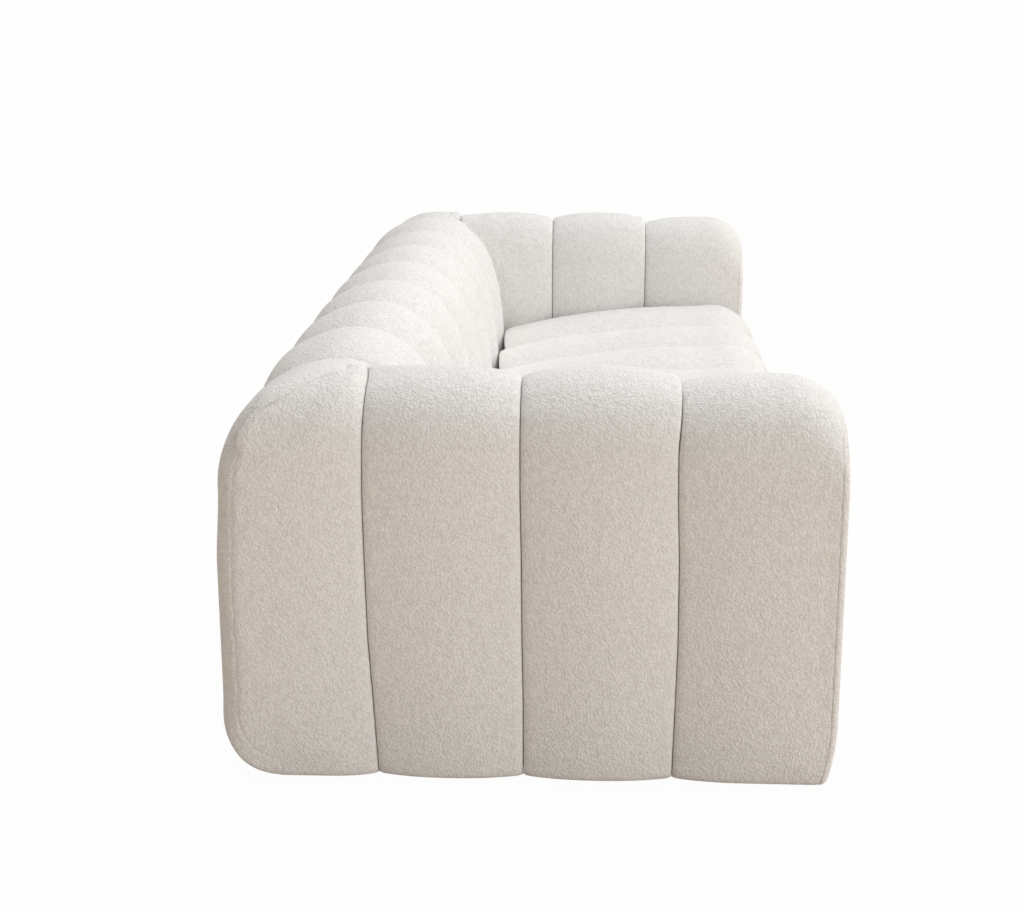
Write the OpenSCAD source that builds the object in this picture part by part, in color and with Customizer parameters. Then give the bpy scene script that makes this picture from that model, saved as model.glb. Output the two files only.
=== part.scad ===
// Channelled tuxedo sofa: arms and back of one height, every face padded in upright channels.
// X runs along the sofa, -Y is the front, +Z is up. The origin is on the floor, under the middle.

/* [Overall] */
// Number of channels across the seat and across the back
seat_channels = 7; // [5:1:9]
// Width of one seat or back channel, seam to seam
channel_w = 250; // [230:5:270]
// Thickness of each arm, outer face to inner face
arm_t = 225; // [210:5:260]
// Depth of the sofa, front face to rear face
sofa_d = 1000; // [980:5:1040]
// Height of the arms and of the back
sofa_h = 670; // [650:5:710]
// Clear height of the covers above the floor
floor_gap = 12; // [10:1:16]

/* [Side outline] */
// Radius over the rear of the back, into its top
rear_r = 180; // [165:5:195]
// Radius under the rear of the back
rear_base_r = 80; // [76:1:90]
// Radius over the front of each arm, into its top
front_r = 110; // [95:5:120]
// Radius under the front of each arm
front_base_r = 25; // [15:1:25]

/* [Back] */
// Radius from the top of the back into its inner face
back_front_r = 155; // [145:5:165]
// Height above the deck at which the inner face starts to lean back
lean_start = 66.2; // [50:0.2:90]
// Share of its radius that the lean rises by, which makes its places short decimals
lean_share = 0.352; // [0.28:0.072:0.352]

/* [Seat] */
// Height of the seat's crest above the floor
seat_h = 434; // [425:1:445]
// Distance of the crest behind the seat's front
seat_crest = 160; // [130:5:180]
// Radius of the long curve from the crest down to the back
seat_crown_r = 1900; // [1700:50:2200]
// Radius of the seat's front edge
nose_r = 100; // [85:5:115]
// Radius under the seat's front
base_r = 42; // [42:1:50]
// Radius at the foot of each arm's outer side
arm_base_r = 20; // [18:1:30]

/* [Padding] */
// Depth of a channel pad at its crown
pad_t = 40; // [34:1:41]
// Depth of the pad that closes the rear of each arm
border_t = 25; // [22:1:28]
// Depth of the pad that closes the front of each arm
cap_t = 18; // [15:1:22]
// How far a pad's seam edges lie below its crown
crown_drop = 13; // [9:1:16]
// How square a pad's crown is: 2 is a plain curve, more is flatter
crown_power = 4.5; // [3:0.5:6]
// Gap between two pads at a seam
seam_gap = 0.6; // [0.4:0.1:0.8]
// Width of the rear channel of each arm; the other three share what is left
rear_channel_w = 219; // [205:1:230]
// Thickness of the foam sheet under the pads
foam_t = 25; // [20:1:28]

/* [Frame] */
// Thickness of the seat rails
rail_t = 30; // [25:1:34]
// Height of the seat rails' top edge above the floor
rail_top = 240; // [225:5:245]
// Thickness of the back's plywood ribs
rib_t = 18; // [15:1:21]
// Thickness of the hardboard panels
panel_t = 3; // [2:0.5:4]
// Width of the back's top rail
top_rail_w = 40; // [32:2:48]
// Height of the back's top rail
top_rail_h = 52; // [44:2:60]
// Height of the back's bottom rail
bottom_rail_h = 70; // [60:5:80]
// Height of the arm's bottom rail
arm_rail_h = 40; // [34:2:48]
// Width of the arm's front post
front_post_w = 100; // [80:5:110]
// Width of the arm's middle post
mid_post_w = 40; // [34:2:60]
// Width of the arm's rear post and of the post in the corner
rear_post_w = 60; // [50:2:70]
// Width of a seat stretcher
stretcher_w = 40; // [30:2:50]
// Height of a seat stretcher
stretcher_h = 60; // [50:2:70]
// Side of a triangular corner block
block_w = 80; // [60:5:90]
// Height of a corner block
block_h = 80; // [60:5:90]

/* [Springs] */
// Number of seat springs
springs = 12; // [9:1:13]
// Number of cross bars in one spring
spring_bars = 18; // [14:2:22]
// Diameter of the spring wire
spring_wire_d = 3.8; // [3:0.2:4.2]
// Straight length of a cross bar
spring_bar_l = 26; // [20:1:34]
// Thickness of the clip strip
clip_t = 1.2; // [1:0.1:1.4]
// Length of a clip along the rail
clip_l = 18; // [14:1:22]
// Diameter of the tie wires across the springs
tie_d = 3; // [2:0.5:3]
// Thickness of the felt over the springs
felt_t = 6; // [4:0.5:8]
// Number of webbing straps inside the back
straps = 3; // [2:1:3]
// Width of a webbing strap
strap_w = 60; // [50:2:64]
// Thickness of a webbing strap
strap_t = 2; // [1.5:0.5:2.5]

/* [Hardware] */
// Diameter of a glide
glide_d = 50; // [40:2:54]
// Width of the sloping edge of a glide
glide_slope = 3; // [2:0.5:5]
// Diameter of a glide's nail
nail_d = 3; // [2.5:0.5:4]
// Length of nail in the wood
nail_l = 20; // [15:1:26]
// Thickness of the dust cover
dust_t = 1.5; // [1:0.1:1.5]
// Diameter of the frame bolts
bolt_d = 8; // [6:1:10]
// Width across the flats of a bolt's head and nut
bolt_flats = 13; // [10:1:16]
// Height of a bolt's head and nut
bolt_head_h = 5.5; // [4:0.5:7]

/* [Hidden] */
// Clearance between pieces that rest on each other
fit = 0.3;
// Overrun of a cut past the face that it goes through
over = 1;
// Room between the covers' lowest edge and the underside of the frame
frame_rise = 4;
// Steps in the crown of a pad, in the angle whose sine spaces them
crown_step = 15;
// Steps in a round corner of a drawn outline
bend_steps = 12;
// Sides of the spring wire: the bars and the half rings meet face to face on them
wire_sides = 6;
// Sides of the round parts
$fn = 64;

// Places that follow from the sizes above
lean_turn = asin(lean_share);
half_d = sofa_d/2;
inner_x = seat_channels*channel_w/2;
half_l = inner_x + arm_t;
arm_mid_x = half_l - arm_t/2;
arm_top_z = sofa_h - arm_t/2;
frame_z = floor_gap + frame_rise;
curl_z = floor_gap + base_r + fit;
crest_y = half_d - rear_r;
arm_channel_w = (sofa_d - cap_t - border_t - rear_channel_w)/3;
core_in = pad_t + foam_t;

// Heights of the seat deck
wire_z = rail_top + clip_t + fit + spring_wire_d/2;
tie_z = wire_z + spring_wire_d/2 + fit + tie_d/2;
felt_z = tie_z + tie_d/2 + fit;
deck_z = felt_z + felt_t + fit;

// Back: the centre and radius of its lean, which runs from above the deck into the front roll
lean_z = deck_z + lean_start;
lean_r = back_front_r + (sofa_h - back_front_r - lean_z)/lean_share;
back_face_y = crest_y - lean_r + (lean_r - back_front_r)*cos(lean_turn);
lean_y = back_face_y + lean_r;

// Seat: the centre of its front edge's radius, its crest, and the turn down to the back
nose_y = nose_r - half_d;
nose_z = seat_h - nose_r;
seat_crest_y = seat_crest - half_d;
function seat_turn(depth) = asin((back_face_y - seat_crest_y)/(seat_crown_r - depth));

// Frame places
rib_in = core_in + strap_t + 2*fit;
rib_front_y = back_face_y + rib_in;
rear_frame_y = half_d - core_in - fit;
rib_rear_y = rear_frame_y - panel_t - fit;
base_rear_y = half_d - rear_base_r - fit;
rear_rail_y = rib_front_y - fit - rail_t;
front_rail_y = -half_d + pad_t + 2*panel_t + foam_t/2;
side_rail_x = inner_x + core_in - rail_t;
rail_l = rear_rail_y - front_rail_y - rail_t - 2*fit;
arm_front_y = -half_d + cap_t + fit;
arm_rear_y = half_d - core_in - 2*fit;
arm_core = arm_t/2 - core_in - fit;
post_half = arm_core - panel_t - fit;
post_y = crest_y;
tuck_z = arm_top_z - bolt_head_h*5;
bolt_l = 2*post_half + panel_t + core_in + rib_t;
low_bolt_z = rail_top/2;
high_bolt_z = arm_top_z - rail_top/2;
post_bolts = [low_bolt_z, high_bolt_z];

// Glides: on the arm rails, the seat's front rail and the back's bottom rail
mid_glide_x = inner_x*2/5;
glide_places = [
    [arm_mid_x, arm_front_y + front_post_w/2],
    [arm_mid_x, arm_rear_y - front_post_w/2],
    [mid_glide_x, front_rail_y + rail_t/2],
    [mid_glide_x, base_rear_y - rail_t/2]
];

// Sweeps: a route is a list of [length, 0] for a straight and [radius, turn] for a bend.
// The section that follows it is drawn outward along x and across along y.
module follow(route, i = 0) {
    if (i < len(route)) {
        size = route[i][0];
        turn = route[i][1];
        if (turn == 0) {
            linear_extrude(size) children();
            translate([0, 0, size]) follow(route, i + 1) children();
        } else {
            translate([-size, 0, 0]) {
                bend(size, turn, i == len(route) - 1) children();
                rotate([0, -turn, 0]) translate([size, 0, 0]) follow(route, i + 1) children();
            }
        }
    }
}

// A quarter or half turn is revolved as it is, and so is a last bend. Any other is a ring cut by
// two planes, so that its ends lie exactly in the planes of the pieces before and after it.
module bend(size, turn, last) {
    if (last || turn % 90 == 0) rotate([90, 0, 0]) rotate_extrude(angle = turn)
        translate([size, 0]) children();
    else intersection() {
        rotate([90, 0, 0]) rotate_extrude() translate([size, 0]) children();
        half_space(size + half_l);
        rotate([0, -turn, 0]) mirror([0, 0, 1]) half_space(size + half_l);
    }
}

module half_space(reach) {
    translate([-reach, -reach, 0]) cube([2*reach, 2*reach, reach]);
}

// The same route, a depth further in
function inset(route, depth) = [for (s = route) s[1] == 0 ? s : [s[0] - depth, s[1]]];

// A layer whose base lies a depth below the route
module layer(route, depth) {
    translate([-depth, 0, 0]) follow(inset(route, depth)) children();
}

// A starting point in the YZ plane, with its heading turned from +Y towards +Z
module start_yz(x, y, z, heading) {
    multmatrix([
        [0, 1, 0, x],
        [-sin(heading), 0, cos(heading), y],
        [cos(heading), 0, sin(heading), z]
    ]) children();
}

// Section of a pad: flat base, crown that falls away towards both seams
module pad_section(width, depth, drop) {
    crown = [
        for (a = [-90:crown_step:90])
            [depth - drop*pow(abs(sin(a)), crown_power), sin(a)*width/2]
    ];
    polygon(concat([[0, -width/2]], crown, [[0, width/2]]));
}

// Section of a flat sheet
module sheet_section(width, depth) {
    translate([0, -width/2]) square([depth, width]);
}

// Points round a corner of an outline, or the corner itself where it has no radius
function corner(y, z, r, from, to) = r <= 0 ? [[y, z]] : [
    for (i = [0:bend_steps])
        let (a = from + (to - from)*i/bend_steps)
            [y + r*cos(a), z + r*sin(a)]
];

// Side outline of the sofa, a depth inside its surface
function side_points(depth) = let (f = max(front_base_r, depth)) concat(
    corner(crest_y, sofa_h - rear_r, rear_r - depth, 0, 90),
    corner(front_r - half_d, sofa_h - front_r, front_r - depth, 90, 180),
    corner(f - half_d, floor_gap + front_base_r*(depth > 0 ? 0 : 1), front_base_r*(depth > 0 ? 0 : 1),
        180, 270),
    depth > 0 ? [[half_d - rear_base_r, floor_gap]] : [],
    corner(half_d - rear_base_r, floor_gap + rear_base_r, rear_base_r - depth, 270, 360)
);

// Side outline as a solid across the left arm, from its outer face to past its inner one
module side_prism(depth) {
    translate([-half_l - over, 0, 0]) rotate([90, 0, 90])
        linear_extrude(arm_t + 2*over) polygon(side_points(depth));
}

// The back's outline as a solid across the left arm, a depth inside its surface
module back_prism(depth) {
    translate([-half_l - 2*over, 0, 0]) rotate([90, 0, 90]) linear_extrude(arm_t + 4*over)
        polygon(concat(
            [[crest_y - back_front_r + depth, -over]],
            corner(crest_y, sofa_h - back_front_r, back_front_r - depth, 180, 90),
            corner(crest_y, sofa_h - rear_r, rear_r - depth, 90, 0),
            corner(half_d - rear_base_r, floor_gap + rear_base_r, rear_base_r - depth, 0, -90),
            [[half_d - rear_base_r, -over]]
        ));
}

// The left arm's cross-section as a solid from front to rear, a depth inside its surface
module arm_prism(depth) {
    r = arm_t/2 - depth;
    l = sofa_d + 2*over;
    translate([-arm_mid_x, 0, 0]) {
        translate([0, l/2, arm_top_z]) rotate([90, 0, 0]) cylinder(r = r, h = l);
        translate([-r, -l/2, floor_gap]) cube([2*r, l, arm_top_z - floor_gap]);
    }
}

// Copies on both sides of the sofa
module both_sides() {
    children();
    mirror([1, 0, 0]) children();
}

// Box that is centred along X
module centred_box(l, y, z, d, h) {
    translate([-l/2, y, z]) cube([l, d, h]);
}

// Routes over the outer surfaces
back_route = [
    [lean_z - deck_z, 0], [lean_r, lean_turn], [back_front_r, 90 - lean_turn],
    [rear_r, 90], [sofa_h - rear_r - floor_gap - rear_base_r, 0], [rear_base_r, 90]
];
seat_route = [
    [base_r, 90], [nose_z - floor_gap - base_r, 0], [nose_r, 90], [seat_crest - nose_r, 0],
    [seat_crown_r, seat_turn(pad_t)]
];
arm_route = [[arm_top_z - deck_z, 0], [arm_t/2, 180], [arm_top_z, 0]];
rear_channel_route = [[arm_top_z - tuck_z, 0], [arm_t/2, 180], [arm_top_z, 0]];
arm_foam_route = [[arm_top_z - deck_z, 0], [arm_t/2, 180], [arm_top_z - curl_z, 0]];
corner_route = [
    [border_t, 0], [back_front_r, 90 - lean_turn], [rear_r, 90],
    [sofa_h - rear_r - floor_gap - rear_base_r, 0], [rear_base_r, 90]
];

// Seat and back channels
function channel_x(i) = -inner_x + (i - 0.5)*channel_w;

module seat_channel(i) {
    color("ivory") intersection() {
        start_yz(channel_x(i), -half_d + base_r, floor_gap, 180)
            layer(seat_route, pad_t) pad_section(channel_w - seam_gap, pad_t, crown_drop);
        translate([channel_x(i), 0, 0])
            centred_box(channel_w, -sofa_d, 0, sofa_d + back_face_y - fit, sofa_h);
    }
}

module back_channel(i) {
    color("ivory") start_yz(channel_x(i), back_face_y, deck_z, 90)
        layer(back_route, pad_t) pad_section(channel_w - seam_gap, pad_t, crown_drop);
}

// Arm channels: number 1 is at the rear and takes what the others leave
function arm_seam_y(i) = i < 4 ? -half_d + cap_t + i*arm_channel_w : half_d - border_t;

module arm_strip(number) {
    low = arm_seam_y(4 - number);
    high = arm_seam_y(5 - number);
    rear = number == 1;
    intersection() {
        translate([-inner_x, (low + high)/2, rear ? tuck_z : deck_z])
            layer(rear ? rear_channel_route : arm_route, pad_t)
                pad_section(high - low - seam_gap, pad_t, crown_drop);
        arm_foot_prism();
    }
}

// All above the rounded foot of the left arm's outer side
module arm_foot_prism() {
    left = -arm_t/2 - fit;
    right = arm_t/2 + over;
    translate([-arm_mid_x, half_d + over, 0]) rotate([90, 0, 0]) linear_extrude(sofa_d + 2*over)
        polygon(concat(
            corner(left + arm_base_r, floor_gap + arm_base_r, arm_base_r, 180, 270),
            [[right, floor_gap], [right, sofa_h + over], [left, sofa_h + over]]
        ));
}

// The front channel also turns down over the front edge, between two outlines of that edge. The
// turned-down piece starts inside the channel, so that the two join without a step.
function nose_points(depth) =
    corner(front_r - half_d, sofa_h - front_r, front_r - depth, 90, 180);
function turned(points) = [for (i = [len(points) - 1:-1:0]) points[i]];

module arm_nose() {
    intersection() {
        translate([-half_l - over, 0, 0]) rotate([90, 0, 90]) linear_extrude(arm_t + 2*over)
            polygon(concat(nose_points(0), turned(nose_points(pad_t - over))));
        arm_prism(fit);
        centred_box(2*half_l, arm_seam_y(0) + seam_gap/2, floor_gap, front_r, sofa_h);
    }
}

module arm_channel(number) {
    color("ivory")
        if (number == 1) difference() {
            intersection() {
                arm_strip(number);
                side_prism(0);
            }
            corner_room();
        }
        else if (number == 2) difference() {
            arm_strip(number);
            corner_room();
        }
        else if (number == 4) {
            intersection() {
                arm_strip(number);
                side_prism(0);
            }
            arm_nose();
        }
        else arm_strip(number);
}

// The pad that closes the rear of an arm carries the back's outline on to the arm. The two round
// tops meet in a groin, whose places are turned from the arm's middle and up its inner side.
function groin(a) = let (
    z = arm_top_z + arm_t/2*sin(a),
    rise = z - sofa_h + back_front_r
) [arm_t/2*cos(a), crest_y - sqrt(back_front_r*back_front_r - rise*rise)];
groin_points = [for (a = [0:crown_step:75]) groin(a)];

// From the groin the seam turns to the outer side: shares of the arm's half thickness, outward
// from its middle, and of the rear radius, back from the crest
mitre_shares = [[0.24, -0.2], [0.73, 0.37], [1.03, 0.71]];
mitre_points = [for (m = mitre_shares) [-m[0]*arm_t/2, crest_y + m[1]*rear_r]];

module corner_sweep(depth) {
    start_yz(
        -arm_mid_x,
        crest_y - back_front_r*cos(lean_turn) - border_t*sin(lean_turn),
        sofa_h - back_front_r + back_front_r*sin(lean_turn) - border_t*cos(lean_turn),
        90 - lean_turn
    ) layer(corner_route, depth) children();
}

// All that lies behind the seam, which is moved forward and outward by a spare
module behind_mitre(spare) {
    translate([-arm_mid_x - spare, -spare, 0]) linear_extrude(sofa_h + over) polygon(concat(
        [[arm_t/2 + over, half_d + over], [arm_t/2 + over, groin_points[0][1] - border_t]],
        [[arm_t/2, groin_points[0][1] - border_t]],
        groin_points,
        mitre_points,
        [[-arm_t/2 - over - seam_gap, half_d + over]]
    ));
}

// The arm's outer side with its curl and half of its round top, as a solid from front to rear
module outer_half_prism() {
    translate([-arm_mid_x, half_d + over, 0]) rotate([90, 0, 0]) linear_extrude(sofa_d + 2*over)
        polygon(concat(
            [[0, 0]],
            corner(arm_base_r - arm_t/2, floor_gap + arm_base_r, arm_base_r, 270, 180),
            corner(0, arm_top_z, arm_t/2, 180, 90),
            [[arm_t/2 + over, sofa_h + over], [arm_t/2 + over, 0]]
        ));
}

module corner_strip() {
    intersection() {
        corner_sweep(border_t) pad_section(arm_t - seam_gap, border_t, crown_drop);
        outer_half_prism();
        behind_mitre(0);
    }
}

// The room that the arm's channels leave for that pad
module corner_room() {
    difference() {
        behind_mitre(seam_gap);
        back_prism(border_t + seam_gap);
    }
}

module corner_channel() {
    color("ivory") corner_strip();
}

// The domed pad that closes the front of an arm
module arm_front_cap() {
    color("ivory") hull() {
        cap_slice(arm_seam_y(0) - seam_gap/2, crown_drop*2/3, cap_t/4);
        cap_slice(arm_seam_y(0) - cap_t/2, crown_drop*2/3, cap_t/4);
        cap_slice(-half_d + cap_t/8, cap_t, cap_t/8);
    }
}

// One slice of the cap: the arm's outline where the front edge has turned down to it
module cap_slice(rear_y, depth, thick) {
    r = arm_t/2 - depth;
    foot_r = max(arm_base_r - depth, cap_t/3);
    down = rear_y - front_r + half_d;
    top_z = sofa_h - front_r + sqrt(front_r*front_r - down*down) - depth - r;
    translate([-arm_mid_x, rear_y, 0]) rotate([90, 0, 0]) linear_extrude(thick) hull() {
        translate([0, top_z]) circle(r, $fn = 32);
        translate([foot_r - r, floor_gap + depth + foot_r]) circle(foot_r, $fn = 32);
        translate([0, floor_gap + depth]) square([r, foot_r]);
    }
}

// Foam
module seat_foam() {
    depth = pad_t + fit;
    color("wheat") rotate([90, 0, 90]) linear_extrude(2*inner_x - 2*fit, center = true) polygon(concat(
        [[fit + base_r - half_d, frame_z], [fit + base_r - half_d, curl_z], [depth - half_d, curl_z]],
        corner(nose_y, nose_z, nose_r - depth, 180, 90),
        corner(seat_crest_y, seat_h - seat_crown_r, seat_crown_r - depth, 90, 90 - seat_turn(depth)),
        [
            [back_face_y - fit, deck_z],
            [front_rail_y - fit, deck_z],
            [front_rail_y - fit, frame_z]
        ]
    ));
}

module back_foam() {
    color("wheat") start_yz(0, back_face_y, deck_z, 90)
        layer(back_route, core_in) sheet_section(2*inner_x - 2*fit, foam_t - fit);
}

module arm_foam() {
    color("wheat") difference() {
        intersection() {
            translate([-inner_x, (arm_front_y + arm_rear_y)/2, deck_z])
                layer(arm_foam_route, core_in)
                    sheet_section(arm_rear_y - arm_front_y, foam_t - fit);
            side_prism(border_t + fit);
        }
        corner_post_block(fit);
        arm_nose_room();
    }
}

// Room under the front channel's turned-down edge
module arm_nose_room() {
    translate([-half_l, 0, 0]) rotate([90, 0, 90]) linear_extrude(arm_t) difference() {
        translate([-half_d, sofa_h - front_r]) square([front_r, front_r]);
        polygon(concat(
            [[front_r - half_d, sofa_h - front_r]],
            corner(front_r - half_d, sofa_h - front_r, front_r - pad_t - fit, 90, 180)
        ));
    }
}

// Foam behind the rear end of an arm, and a wedge under the pad that carries on the back's top
module corner_foam() {
    color("wheat") {
        intersection() {
            union() {
                arm_prism(pad_t + fit);
                translate([-arm_mid_x, 0, curl_z])
                    cube([arm_t/2 - fit, half_d, tuck_z - curl_z - fit]);
            }
            side_prism(border_t + fit);
            centred_box(2*half_l, arm_rear_y + fit, curl_z, foam_t + pad_t, sofa_h);
        }
        difference() {
            intersection() {
                back_prism(border_t + fit);
                translate([fit - arm_mid_x, 0, arm_top_z]) cube([arm_t/2 - 2*fit, half_d, arm_t]);
                behind_mitre(-fit);
            }
            arm_prism(-fit);
        }
    }
}

// Felt, webbing and dust cover
module spring_felt() {
    color("gray") centred_box(2*(inner_x + pad_t - fit), front_rail_y, felt_z,
        back_face_y + pad_t - front_rail_y, felt_t);
}

module back_webbing() {
    r = lean_r - core_in - fit;
    sweep = strap_w/r*180/PI;
    step = (lean_turn - sweep)/(straps - 1);
    color("tan") for (i = [0:straps - 1]) {
        a = 180 - i*step;
        start_yz(0, lean_y + r*cos(a), lean_z + r*sin(a), a - 90)
            layer([[r, sweep]], strap_t) sheet_section(2*inner_x - 2*fit, strap_t);
    }
}

module dust_cover() {
    front_y = -half_d + base_r + fit;
    color("dimgray") difference() {
        centred_box(2*(half_l - base_r - fit), front_y, frame_z - fit - dust_t,
            base_rear_y - front_y, dust_t);
        nails(fit);
    }
}

// Seat base
module seat_front_rail() {
    color("burlywood") difference() {
        centred_box(2*(inner_x + core_in), front_rail_y, frame_z, rail_t, rail_top - frame_z);
        nails(fit/2);
    }
}

module seat_rear_rail() {
    color("burlywood")
        centred_box(2*(inner_x + core_in), rear_rail_y, frame_z, rail_t, rail_top - frame_z);
}

module seat_side_rails() {
    color("burlywood") both_sides() difference() {
        translate([-side_rail_x - rail_t, front_rail_y + rail_t + fit, frame_z])
            cube([rail_t, rail_l, rail_top - frame_z]);
        bolts(bolt_d/2 + fit);
    }
}

module seat_stretchers() {
    color("burlywood") for (i = [-1:1])
        translate([i*side_rail_x/2 - stretcher_w/2, front_rail_y + rail_t + fit, frame_z])
            cube([stretcher_w, rail_l, stretcher_h]);
}

module corner_block() {
    translate([0, 0, rail_top - block_h - over])
        linear_extrude(block_h) polygon([[0, 0], [block_w, 0], [0, block_w]]);
}

module corner_blocks() {
    x = side_rail_x - fit;
    color("tan") both_sides() {
        translate([-x, front_rail_y + rail_t + fit, 0]) corner_block();
        translate([-x, rear_rail_y - fit, 0]) mirror([0, 1, 0]) corner_block();
    }
}

// Back frame
function rib_points() = concat(
    [[rib_front_y, frame_z]],
    corner(lean_y, lean_z, lean_r - rib_in, 180, 180 - lean_turn),
    corner(crest_y, sofa_h - back_front_r, back_front_r - rib_in, 180 - lean_turn, 90),
    corner(crest_y, sofa_h - rear_r, rear_r - rib_in, 90, 0),
    [
        [rib_rear_y, sofa_h - rear_r - over],
        [rib_rear_y, floor_gap + rear_base_r],
        [base_rear_y, floor_gap + core_in + frame_rise],
        [base_rear_y, frame_z]
    ]
);

module back_rib() {
    rotate([90, 0, 90]) linear_extrude(rib_t, center = true) difference() {
        polygon(rib_points());
        translate([crest_y - top_rail_w/2 - fit, sofa_h - rib_in - top_rail_h - fit])
            square([top_rail_w + 2*fit, top_rail_h + over + fit]);
        translate([base_rear_y - rail_t - fit, frame_z - over])
            square([rail_t + over + fit, bottom_rail_h + over + fit]);
    }
}

module back_ribs() {
    color("peru") difference() {
        for (i = [0:seat_channels]) {
            side = i == 0 ? 1 : i == seat_channels ? -1 : 0;
            translate([i*channel_w - inner_x + side*(rib_t/2 + fit), 0, 0]) back_rib();
        }
        both_sides() bolts(bolt_d/2 + fit);
    }
}

module back_top_rail() {
    color("burlywood") centred_box(2*(inner_x - fit), crest_y - top_rail_w/2,
        sofa_h - rib_in - top_rail_h, top_rail_w, top_rail_h);
}

module back_bottom_rail() {
    color("burlywood") difference() {
        centred_box(2*(inner_x - fit), base_rear_y - rail_t, frame_z, rail_t, bottom_rail_h);
        nails(fit/2);
    }
}

module back_outer_panel() {
    low = floor_gap + rear_base_r;
    color("sienna") centred_box(2*(inner_x - fit), rib_rear_y + fit, low, panel_t,
        sofa_h - rear_r - low);
}

// Arm frame
module arm_post(y, w) {
    z = frame_z + arm_rail_h + fit;
    translate([-arm_mid_x - post_half, y, z]) cube([2*post_half, w, arm_top_z - z - fit]);
}

module arm_posts() {
    color("burlywood") difference() {
        union() {
            arm_post(arm_front_y, front_post_w);
            arm_post(-mid_post_w, mid_post_w);
            arm_post(post_y - rear_post_w/2, rear_post_w);
        }
        bolts(bolt_d/2 + fit);
        bolt_heads(bolt_flats/sqrt(3) + fit, bolt_head_h + over);
    }
}

module arm_top_rail() {
    front_y = -half_d + core_in;
    rear_y = half_d - rear_r/2;
    color("burlywood") translate([-arm_mid_x, rear_y, arm_top_z]) rotate([90, 0, 0])
        linear_extrude(rear_y - front_y) intersection() {
            circle(arm_core);
            translate([-arm_core, 0]) square([2*arm_core, arm_core]);
        }
}

module arm_bottom_rail() {
    color("burlywood") difference() {
        translate([-arm_mid_x - post_half, arm_front_y, frame_z])
            cube([2*post_half, arm_rear_y - arm_front_y, arm_rail_h]);
        nails(fit/2);
    }
}

module arm_panel(x) {
    translate([x, arm_front_y, frame_z])
        cube([panel_t, arm_rear_y - arm_front_y, arm_top_z - frame_z - fit]);
}

module arm_outer_panel() {
    color("sienna") arm_panel(-arm_mid_x - arm_core);
}

module arm_inner_panel() {
    color("sienna") difference() {
        arm_panel(-arm_mid_x + arm_core - panel_t);
        bolts(bolt_d/2 + fit);
    }
}

// Posts between the arms and the ends of the back
module corner_post_block(spare) {
    translate([-inner_x - core_in - spare, post_y - rear_post_w/2 - spare, frame_z - spare])
        cube([core_in + spare, rear_post_w + 2*spare, tuck_z - frame_z - fit + 2*spare]);
}

module corner_posts() {
    color("burlywood") both_sides() difference() {
        corner_post_block(0);
        bolts(bolt_d/2 + fit);
    }
}

// Sinuous springs: cross bars joined by half rings at alternate ends
spring_y0 = front_rail_y + rail_t/2;
spring_y1 = rear_rail_y + rail_t/2;
spring_pitch = (spring_y1 - spring_y0)/(spring_bars - 1);
spring_gap_x = 2*(side_rail_x - block_w)/springs;

module spring() {
    for (k = [0:spring_bars - 1]) translate([0, spring_y0 + k*spring_pitch, wire_z]) {
        side = k % 2 == 0 ? 1 : -1;
        rotate([0, 90, 0])
            cylinder(d = spring_wire_d, h = spring_bar_l, center = true, $fn = wire_sides);
        if (k < spring_bars - 1)
            translate([side*spring_bar_l/2, spring_pitch/2, 0]) rotate([0, 0, -90*side])
                rotate_extrude(angle = 180) translate([spring_pitch/2, 0])
                    circle(d = spring_wire_d, $fn = wire_sides);
    }
}

function spring_x(i) = (i - (springs - 1)/2)*spring_gap_x;

module seat_springs() {
    color("silver") for (i = [0:springs - 1]) translate([spring_x(i), 0, 0]) spring();
}

// A clip: a strip curled round the spring's end bar, on a foot that is stapled to the rail
module clip() {
    r = spring_wire_d/2 + fit;
    rotate([90, 0, 90]) linear_extrude(clip_l, center = true) {
        difference() {
            circle(r + clip_t);
            circle(r);
            translate([0, -r - clip_t]) square([r + clip_t, r + clip_t]);
        }
        translate([-rail_t/3, -r - clip_t]) square([rail_t/3 + over, clip_t]);
    }
}

module spring_clips() {
    color("silver") for (i = [0:springs - 1]) translate([spring_x(i), 0, wire_z]) {
        translate([0, spring_y0, 0]) clip();
        translate([0, spring_y1, 0]) mirror([0, 1, 0]) clip();
    }
}

module tie_wires() {
    span = spring_y1 - spring_y0;
    color("gray") for (share = [1/3, 2/3])
        translate([0, spring_y0 + span*share, tie_z]) rotate([0, 90, 0])
            cylinder(d = tie_d, h = 2*side_rail_x, center = true);
}

// Glides with their nails
module nails(spare) {
    both_sides() for (p = glide_places) translate([-p[0], p[1], 0])
        translate([0, 0, floor_gap/2])
            cylinder(r = nail_d/2 + spare, h = frame_z + nail_l - floor_gap/2 + spare);
}

module glides() {
    top = frame_z - dust_t - 2*fit;
    color("black") {
        both_sides() for (p = glide_places) translate([-p[0], p[1], 0]) {
            cylinder(r1 = glide_d/2 - glide_slope, r2 = glide_d/2, h = glide_slope);
            translate([0, 0, glide_slope]) cylinder(d = glide_d, h = top - glide_slope);
        }
        nails(0);
    }
}

// Bolts: two through the corner post and the end rib, two through the seat's side rail
module at_bolts() {
    for (z = post_bolts) translate([0, post_y, z]) rotate([0, 90, 0]) children(0);
    for (y = [arm_front_y + front_post_w - block_w/4, -mid_post_w/2])
        translate([0, y, low_bolt_z]) rotate([0, 90, 0]) children(1);
}

module bolts(r) {
    x = -arm_mid_x - post_half - over;
    at_bolts() {
        translate([0, 0, x]) cylinder(r = r, h = bolt_l + 4*over);
        translate([0, 0, x]) cylinder(r = r, h = 2*post_half + panel_t + rail_t + 4*over);
    }
}

// Heads and their sockets in the outer side of the posts
module bolt_heads(r, h) {
    x = -arm_mid_x - post_half;
    at_bolts() {
        translate([0, 0, x - over]) cylinder(r = r, h = h + over);
        translate([0, 0, x - over]) cylinder(r = r, h = h + over);
    }
}

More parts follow.
